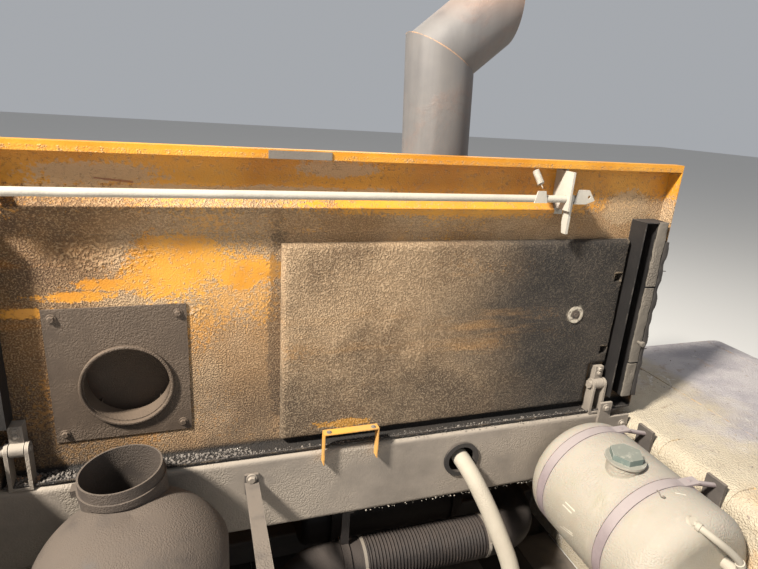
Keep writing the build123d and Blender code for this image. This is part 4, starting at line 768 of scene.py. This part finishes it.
def pad_depth(x, z, low, high):
    """How far the pad stands off the door at a place."""
    to_edge = min(x - low.x, high.x - x, z - low.z, high.z - z,
                  math.hypot(max(PAD_NOTCH_X - x, 0), max(z - PAD_NOTCH_Z, 0)))
    to_edge += 0.0016 * noise.noise(Vector((x * 24, 0, z * 24))) if to_edge > 0.0002 else 0
    share = min(max(to_edge / PAD_EDGE, 0), 1)
    depth = (high.y - low.y) * math.sqrt(1 - (1 - share) ** 2)
    swell = 0.0022 * noise.noise(Vector((x * 5, 3, z * 5)))
    depth += share * (swell + 0.0010 * noise.noise(Vector((x * 22, 7, z * 22))))
    away = Vector((x - WASHER.x, 0, z - WASHER.z))
    dimple = math.exp(-(away.length / DIMPLE_R) ** 4)
    pleats = math.sin(PLEATS * math.atan2(away.z, away.x)) * math.exp(-((away.length - 0.05) / 0.02) ** 2)
    depth -= share * (DIMPLE_DEPTH * dimple + PLEAT_DEPTH * pleats)
    for left, right, foot, top in PAD_SLOTS:
        in_height = bay_along("Z", foot) < z < bay_along("Z", top)
        if in_height and bay_along("X", left) < x < bay_along("X", right):
            depth = SLOT_FLOOR
    return depth


def make_sound_pad():
    low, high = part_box("sound_pad")
    cut_x = [bay_along("X", slot[i]) for slot in PAD_SLOTS for i in (0, 1)]
    cut_z = [bay_along("Z", slot[i]) for slot in PAD_SLOTS for i in (2, 3)]
    xs = close_lines(low.x, high.x, PAD_EDGE, PAD_STEP, cut_x + [PAD_NOTCH_X - PAD_EDGE * 0.5, PAD_NOTCH_X])
    zs = close_lines(low.z, high.z, PAD_EDGE, PAD_STEP, cut_z + [PAD_NOTCH_Z + PAD_EDGE * 0.5, PAD_NOTCH_Z])
    bm = bmesh.new()
    verts = {}
    for i, x in enumerate(xs):
        for j, z in enumerate(zs):
            if x <= PAD_NOTCH_X + 0.001 or z >= PAD_NOTCH_Z - 0.001:
                verts[i, j] = bm.verts.new((x, high.y - max(pad_depth(x, z, low, high), 0.0), z))
    for i in range(len(xs) - 1):
        for j in range(len(zs) - 1):
            corners = [verts.get(k) for k in ((i, j), (i + 1, j), (i + 1, j + 1), (i, j + 1))]
            if None not in corners:
                bm.faces.new(corners)
    skirt(bm, "Y", high.y + 0.0002)
    soft_piece("foam_sound_pad", bm, "pad_foam_skin", 60, "sound_pad")


# Seals at the door's rear end, in bay millimetres

SEAL_LEFT = 1298
SEAL_MIDDLE = 1332
SEAL_RIGHT = 1352
SEAL_FRONT = -60
FOAM_RUNS = ((60, 175), (182, 430), (437, 635))
RUBBER_TOP = 575
RUBBER_SHREDS = 46
SHRED_REACH = ((0.004, 0.009), (-0.004, 0.002), (-0.005, 0.005))
PEG = (1315, 252)


def soft_bar(bm, xs, ys, zs, step, rough, seed):
    """A soft square bar along z, its faces uneven."""
    xs, ys, zs = ([bay_along(axis, end) for end in ends] for axis, ends in zip("XYZ", (xs, ys, zs)))
    section = []
    for k in range(16):
        angle = math.tau * (k + 0.5) / 16
        cos, sin = math.cos(angle), math.sin(angle)
        grow = 1 / max(abs(cos), abs(sin)) ** 0.85
        section.append((cos * grow, sin * grow))
    rings = []
    count = max(round((zs[1] - zs[0]) / step), 2)
    for i in range(count + 1):
        z = zs[0] + (zs[1] - zs[0]) * i / count
        ring = []
        for a, b in section:
            x = (xs[0] + xs[1]) / 2 + a * (xs[1] - xs[0]) / 2
            y = (ys[0] + ys[1]) / 2 + b * (ys[1] - ys[0]) / 2
            push = rough * noise.noise(Vector((x * 60 + seed, y * 60, z * 45)))
            ring.append(Vector((x + a * push, y + b * push, z)))
        rings.append(ring)
    loft(bm, rings)


def make_end_seals():
    draw = random.Random(4)
    bm = bmesh.new()
    for foot, top in FOAM_RUNS:
        soft_bar(bm, (SEAL_LEFT, SEAL_MIDDLE), (SEAL_FRONT - 2, SEAL_FRONT + 6), (foot, top),
                 0.012, 0.0022, foot)
    soft_piece("end_foam_strip", bm, "foam_strip", 50, "seal_strips")
    bm = bmesh.new()
    soft_bar(bm, (SEAL_MIDDLE + 1, SEAL_RIGHT), (SEAL_FRONT - 3, -1), (FOAM_RUNS[0][0], RUBBER_TOP),
             0.010, 0.0045, 9)
    for _ in range(RUBBER_SHREDS):
        foot = bay(SEAL_RIGHT - draw.uniform(0, 3), draw.uniform(SEAL_FRONT, -8), draw.uniform(70, 565))
        tip = foot + Vector([draw.uniform(*reach) for reach in SHRED_REACH])
        tube(bm, [foot - Vector((0.003, 0, 0)), (foot + tip) / 2, tip], draw.uniform(0.0008, 0.0022), 5)
    soft_piece("end_rubber_strip", bm, "dark_rubber", 50)
    bm = bmesh.new()
    turned(bm, ((0, mm(5)), (mm(18), mm(5)), (mm(19), mm(9)), (mm(25), mm(9)), (mm(27), mm(7))),
           bay(PEG[0], SEAL_FRONT + 2, PEG[1]), (0, -1, 0), 20)
    piece("seal_peg", bm, "foam_strip", "door")


FOOT_SEAL_STEP = 14
FOOT_SEAL_INSET = 6


def make_foot_seal():
    """Rubber lip under the door's lower edge, with crumbs stuck to it."""
    low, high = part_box("door_skin")
    rings = []
    count = round((high.x - low.x) * 1000 / FOOT_SEAL_STEP)
    for i in range(count + 1):
        x = low.x + mm(FOOT_SEAL_INSET) + (high.x - low.x - 2 * mm(FOOT_SEAL_INSET)) * i / count
        ring = []
        for k in range(10):
            angle = math.tau * k / 10
            y = low.y + mm(4.5) + mm(4.5) * math.cos(angle)
            z = low.z - mm(0.2) + mm(3.4) * math.sin(angle)
            push = mm(1.0) * noise.noise(Vector((x * 50, y * 80, z * 80)))
            ring.append(Vector((x, y - max(push, -mm(1)), z)))
        rings.append(ring)
    bm = bmesh.new()
    loft(bm, rings)
    soft_piece("door_foot_seal", bm, "speckled_rubber", 60)


# Latch's return spring, in metres

SPRING_TURNS = 17
TURN_STEPS = 12
SPRING_COIL_R = 0.0085
SPRING_WIRE_R = 0.0012
SPRING_HOOK = 0.010


def make_return_spring():
    """Close-wound spring with a hook at each end."""
    top = bay(858, -33, 781)
    foot = bay(872, -64, 731)
    ahead = (foot - top).normalized()
    side = ahead.orthogonal().normalized()
    other = ahead.cross(side)
    start = top + ahead * SPRING_HOOK
    run = (foot - top).length - 2 * SPRING_HOOK
    path = [top - side * 0.004, top - side * 0.0015 + ahead * -0.003, top + ahead * 0.003]
    steps = SPRING_TURNS * TURN_STEPS
    for i in range(steps + 1):
        angle = math.tau * SPRING_TURNS * i / steps
        spread = SPRING_COIL_R * min(1, 0.2 + i / 6, 0.2 + (steps - i) / 6)
        path.append(start + ahead * (run * i / steps) + side * (spread * math.cos(angle))
                    + other * (spread * math.sin(angle)))
    path += [foot - ahead * 0.003, foot + ahead * 0.003 + side * 0.002, foot + side * 0.005]
    bm = bmesh.new()
    tube(bm, path, SPRING_WIRE_R, 6)
    spring = piece("coil_return_spring", bm, "pale_zinc", None)
    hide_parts("return_spring")
    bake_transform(spring)


# Fasteners: name, body, finish, across the flats, way that they face, places
BOLTS = (
    ("duct_plate_bolts", "door", "duct_brown", 13, (0, -1, 0),
     ((-314, -4, 408), (-48, -4, 408), (-314, -4, 112), (-48, -4, 112))),
    ("hinge_strap_bolts", "door", "beam_grey", 10, (0, -1, 0),
     ((-408, -30, 136), (-408, -30, 151), (1216, -30, 136), (1216, -30, 151))),
    ("bracket_screws", "door", "pale_zinc", 10, (0, -1, 0),
     ((978, -6, 662), (978, -6, 770), (-403, -6, 731))),
    ("brace_bolts", "frame", "beam_grey", 17, (0, -1, 0), ((116, -58, -52),)),
    ("brace_rail_bolts", "frame", "beam_grey", 17, (0, 0, 1), ((116, -706, -62),)),
    ("guard_screws", "frame", "dull_zinc", 8, (0, 0, 1), ((320, -65, 65), (445, -65, 65))),
    ("striker_bolts", "frame", "dull_zinc", 13, (0, 0, 1), ((-422, -692, -62), (1025, -692, -62))),
    ("end_plate_bolts", "frame", "beam_grey", 15, (0, -1, 0),
     ((1247, -58, 22), (1247, -58, -80), (1325, -58, -80), (1325, -58, -45))),
)
STACK_FOOT = (735, 280, 139)
STACK_BOLT_RING = 113
STACK_BOLTS = 6
STACK_BOLT_ACROSS = 13


def make_fasteners():
    for name, body, finish, across, ahead, places in BOLTS:
        bm = bmesh.new()
        for bolt_at in places:
            hex_bolt(bm, bay(*bolt_at), ahead, mm(across))
        piece(name, bm, finish, body, 25)
    bm = bmesh.new()
    for k in range(STACK_BOLTS):
        angle = math.tau * (k + 0.5) / STACK_BOLTS
        x = STACK_FOOT[0] + STACK_BOLT_RING * math.cos(angle)
        y = STACK_FOOT[1] + STACK_BOLT_RING * math.sin(angle)
        hex_bolt(bm, bay(x, y, STACK_FOOT[2]), (0, 0, 1), mm(STACK_BOLT_ACROSS))
    piece("stack_flange_bolts", bm, "browned_stack", "frame", 25)


# Loose stone: name, body, finish, how many, least and most size, seed, and the x, y and z it lies between
CRUMBS = (
    ("door_ledge_grit", "door", "grey_grit", 900, 1.6, 6.0, 11, (-440, 120), (-42, -4), (10.5, 13.0)),
    ("door_ledge_dust", "door", "grey_grit", 240, 1.2, 4.0, 12, (120, 1180), (-42, -28), (10.5, 12.0)),
    ("door_ledge_flecks", "door", "pale_crumbs", 260, 0.8, 2.4, 16, (90, 1190), (-43, -34), (10.5, 12.0)),
    ("beam_top_crumbs", "frame", "pale_crumbs", 120, 1.0, 2.8, 15, (430, 1170), (-49, -38), (0.2, 1.4)),
    ("beam_lower_crumbs", "frame", "pale_crumbs", 90, 1.2, 3.6, 13, (430, 1240), (-53, -44), (-228, -226)),
    ("box_stones", "frame", "pale_crumbs", 160, 1.5, 4.5, 14, (1410, 2280), (-700, 390), (-30, -29)),
)


def make_crumbs():
    for name, body, finish, count, least, most, seed, xs, ys, zs in CRUMBS:
        draw = random.Random(seed)
        bm = bmesh.new()
        for _ in range(count):
            size = least + (most - least) * draw.random() ** 3
            where = bay(draw.uniform(*xs), draw.uniform(*ys), draw.uniform(*zs))
            lump(bm, where, mm(size), draw)
        piece(name, bm, finish, body, 180)


# Clamps on hoses and pipes: name, centre, way along, radius, width and the side that the screw is on

CLAMPS = (
    ("hose_foot_clamp", (850, -275, -572), (0, 0, 1), 26, 12, (0, -1, 0)),
    ("bellows_front_clamp", (458, 0, -460), (1, 0, 0), 70.4, 10, (0, -1, 0.3)),
    ("bellows_rear_clamp", (882, 0, -460), (1, 0, 0), 70.4, 10, (0, -1, 0.3)),
    ("tank_outlet_clamp", (1220, -600, -118), (0, 1, 0), 16, 9, (0, 0, 1)),
)
BAND_THICK = 1.4


def band_clamp(bm, centre, ahead, radius, width, screw_side):
    """Worm-drive clamp: a thin band with its screw housing."""
    ahead = Vector(ahead).normalized()
    outer = radius + mm(BAND_THICK)
    band = ((0, radius), (0, outer), (width, outer), (width, radius))
    ring_tube(bm, band, centre - ahead * (width / 2), ahead, 40)
    out = Vector(screw_side).normalized()
    turn = ahead.cross(out)
    housing = centre + out * (radius + 0.005)
    turned(bm, ((-0.010, 0.0045), (-0.009, 0.0058), (0.009, 0.0058), (0.010, 0.0045)), housing, turn, 12)
    turned(bm, ((0.010, 0.0040), (0.015, 0.0040), (0.016, 0.0032)), housing, turn, 6)


def make_clamps():
    for name, centre, ahead, radius, width, screw_side in CLAMPS:
        bm = bmesh.new()
        band_clamp(bm, bay(*centre), ahead, mm(radius), mm(width), screw_side)
        piece(name, bm, "dull_zinc", "frame", 30)


# Ribbed exhaust sleeve: its ribs stand closer than the solid's

SLEEVE_START = (470, 0, -460)
SLEEVE_LENGTH = 400
SLEEVE_RIBS = 36
SLEEVE_R = 68
CUFF_LENGTH = 24
# How far along its pitch and how proud each point of a rib's outline is
RIB_OUTLINE = ((0.1, -3.5), (0.32, 0.5), (0.5, 2.4), (0.68, 0.5), (0.9, -3.5))


def make_ribbed_sleeve():
    pitch = SLEEVE_LENGTH / SLEEVE_RIBS
    end = SLEEVE_LENGTH
    outline = [(-CUFF_LENGTH, 0.3), (-CUFF_LENGTH, 2), (-1, 2)]
    outline += [((i + share) * pitch, rise) for i in range(SLEEVE_RIBS) for share, rise in RIB_OUTLINE]
    outline += [(end + 1, 2), (end + CUFF_LENGTH, 2), (end + CUFF_LENGTH, 0.3), (end, 0.3)]
    outline += [(end - 1, -6), (1, -6), (0, 0.3)]
    outline = [(mm(along), mm(SLEEVE_R + rise)) for along, rise in outline]
    bm = bmesh.new()
    ring_tube(bm, outline, bay(*SLEEVE_START), (1, 0, 0), 56)
    sleeve = piece("ribbed_exhaust_sleeve", bm, "soot_brown", "frame", 50)
    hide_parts("exhaust_bellows")


# Rear plate of the belly guard, with its pressed ribs

PLATE_X = (1182, 1346)
PLATE_Y = (-560, 250)
PLATE_TOP = -735
PLATE_THICK = 6
PLATE_COLUMNS = 18
PLATE_ROWS = 60
PLATE_RIBS = 6
PLATE_RIB_RISE = 3


def make_rear_guard_plate():
    bm = bmesh.new()
    grid = []
    for i in range(PLATE_COLUMNS + 1):
        line = []
        for j in range(PLATE_ROWS + 1):
            x = PLATE_X[0] + (PLATE_X[1] - PLATE_X[0]) * i / PLATE_COLUMNS
            y = PLATE_Y[0] + (PLATE_Y[1] - PLATE_Y[0]) * j / PLATE_ROWS
            fade = max(0, 1 - (abs(i / PLATE_COLUMNS - 0.5) * 2) ** 6)
            rib = PLATE_RIB_RISE * max(0, 1 - abs((j / PLATE_ROWS * PLATE_RIBS) % 1 - 0.5) * 5) * fade
            line.append(bm.verts.new(bay(x, y, PLATE_TOP - PLATE_RIB_RISE + rib)))
        grid.append(line)
    for near, far in zip(grid, grid[1:]):
        for j in range(PLATE_ROWS):
            bm.faces.new((near[j], far[j], far[j + 1], near[j + 1]))
    skirt(bm, "Z", bay_along("Z", PLATE_TOP - PLATE_THICK))
    piece("rear_guard_plate", bm, "frame_grey", "frame", 40)


# Small hose and fittings on the tank's near end

VENT_PATH = ((1120, -524, -8), (1128, -550, -10), (1150, -576, -26), (1180, -590, -50), (1206, -598, -74),
             (1221, -601, -96))
VENT_R = 9
VENT_ELBOW = ((-14, 16), (2, 16), (5, 12), (10, 11))
VENT_SOCKET = ((-12, 15), (-10, 17.5), (8, 17.5), (11, 15))
VENT_CLIP = ((-6, VENT_R), (-5, VENT_R + 2.4), (5, VENT_R + 2.4), (6, VENT_R))
HOOK_PATH = ((1113, -417, 4), (1112, -421, 6), (1109, -429, 4), (1106, -436, 4), (1104, -441, 5),
             (1107, -446, 6), (1111, -444, 6), (1110, -439, 5))
HOOK_R = 1.5


def curve_points(places, steps):
    """Points on a smooth line through places."""
    points = [bay(*place_at) for place_at in places]
    smooth = []
    for i in range(len(points) - 1):
        before = points[max(i - 1, 0)]
        after = points[min(i + 2, len(points) - 1)]
        for k in range(steps):
            t = k / steps
            smooth.append(0.5 * (2 * points[i] + (points[i + 1] - before) * t
                                 + (2 * before - 5 * points[i] + 4 * points[i + 1] - after) * t * t
                                 + (3 * points[i] - before - 3 * points[i + 1] + after) * t ** 3))
    return smooth + [points[-1]]


def make_tank_fittings():
    bm = bmesh.new()
    path = curve_points(VENT_PATH, 6)
    tube(bm, path, mm(VENT_R), 16)
    fittings = ((VENT_CLIP, path[4], path[6] - path[2], 20),
                (VENT_CLIP, path[-4], path[-2] - path[-6], 20),
                (VENT_ELBOW, bay(*VENT_PATH[0]), (-0.1, -0.5, 0.86), 20),
                (VENT_SOCKET, bay(1224, -606, -112), (0, 0, 1), 24))
    for profile, where, ahead, sides in fittings:
        turned(bm, [(mm(along), mm(radius)) for along, radius in profile], where, ahead, sides)
    piece("tank_vent_hose", bm, "hose_skin", "frame", 45)
    bm = bmesh.new()
    tube(bm, curve_points(HOOK_PATH, 4), mm(HOOK_R), 8)
    piece("strap_hook", bm, "dull_zinc", "frame", 60)


# Stage

FLOOR_REACH = 40
FLOOR_COLOUR = (208, 205, 200)
SKY_COLOUR = (222, 226, 232)
SKY_STRENGTH = 0.52
LIGHTS_LOOK_AT = Vector((0, -0.1, 0.9))
# Name, place, size, power and colour
LIGHTS = (("key_light", (-4.7, -1.9, 5.6), 0.6, 1500, (1.0, 0.95, 0.86)),
          ("fill_light", (3.6, -3.4, 2.6), 3.0, 30, (0.9, 0.95, 1.0)),
          ("back_light", (1.0, 4.6, 4.0), 3.0, 60, (1.0, 0.98, 0.95)))
# Camera, from the photograph's vanishing points
CAMERA_PLACE = (0, -1300, 900)
CAMERA_RIGHT = (0.948, -0.311, 0.064)
CAMERA_UP = (0.038, 0.310, 0.950)
CAMERA_LENS = 25.88
SENSOR_WIDTH = 36


def make_stage():
    bm = bmesh.new()
    bmesh.ops.create_grid(bm, x_segments=2, y_segments=2, size=FLOOR_REACH)
    mesh = bpy.data.meshes.new("pale_floor")
    bm.to_mesh(mesh)
    bm.free()
    floor = bpy.data.objects.new("pale_floor", mesh)
    bpy.context.scene.collection.objects.link(floor)
    feed(new_finish("floor_matt")[1], Base_Color=srgb(*FLOOR_COLOUR), Roughness=0.9)
    mesh.materials.append(bpy.data.materials["floor_matt"])
    world = bpy.data.worlds.new("studio")
    bpy.context.scene.world = world
    world.use_nodes = True
    feed(world.node_tree.nodes["Background"].inputs, Color=srgb(*SKY_COLOUR), Strength=SKY_STRENGTH)
    for name, where, size, power, colour in LIGHTS:
        data = bpy.data.lights.new(name, "AREA")
        data.size = size
        data.energy = power
        data.color = colour
        light = bpy.data.objects.new(name, data)
        light.location = where
        light.rotation_mode = "QUATERNION"
        light.rotation_quaternion = (LIGHTS_LOOK_AT - light.location).to_track_quat("-Z", "Y")
        bpy.context.scene.collection.objects.link(light)


def make_camera():
    data = bpy.data.cameras.new("photo_camera")
    data.sensor_width = SENSOR_WIDTH
    data.lens = CAMERA_LENS
    data.clip_start = 0.02
    camera = bpy.data.objects.new("photo_camera", data)
    right = Vector(CAMERA_RIGHT).normalized()
    up = Vector(CAMERA_UP)
    up = (up - right * up.dot(right)).normalized()
    camera.matrix_world = Matrix((right, up, right.cross(up))).transposed().to_4x4()
    camera.location = bay(*CAMERA_PLACE)
    bpy.context.scene.collection.objects.link(camera)
    bpy.context.scene.camera = camera
    bpy.context.scene.view_settings.view_transform = "Standard"


make_camera()
make_stage()
dress_frame()
make_sound_pad()
make_end_seals()
make_foot_seal()
make_return_spring()
make_fasteners()
make_crumbs()
make_clamps()
make_ribbed_sleeve()
make_rear_guard_plate()
make_tank_fittings()
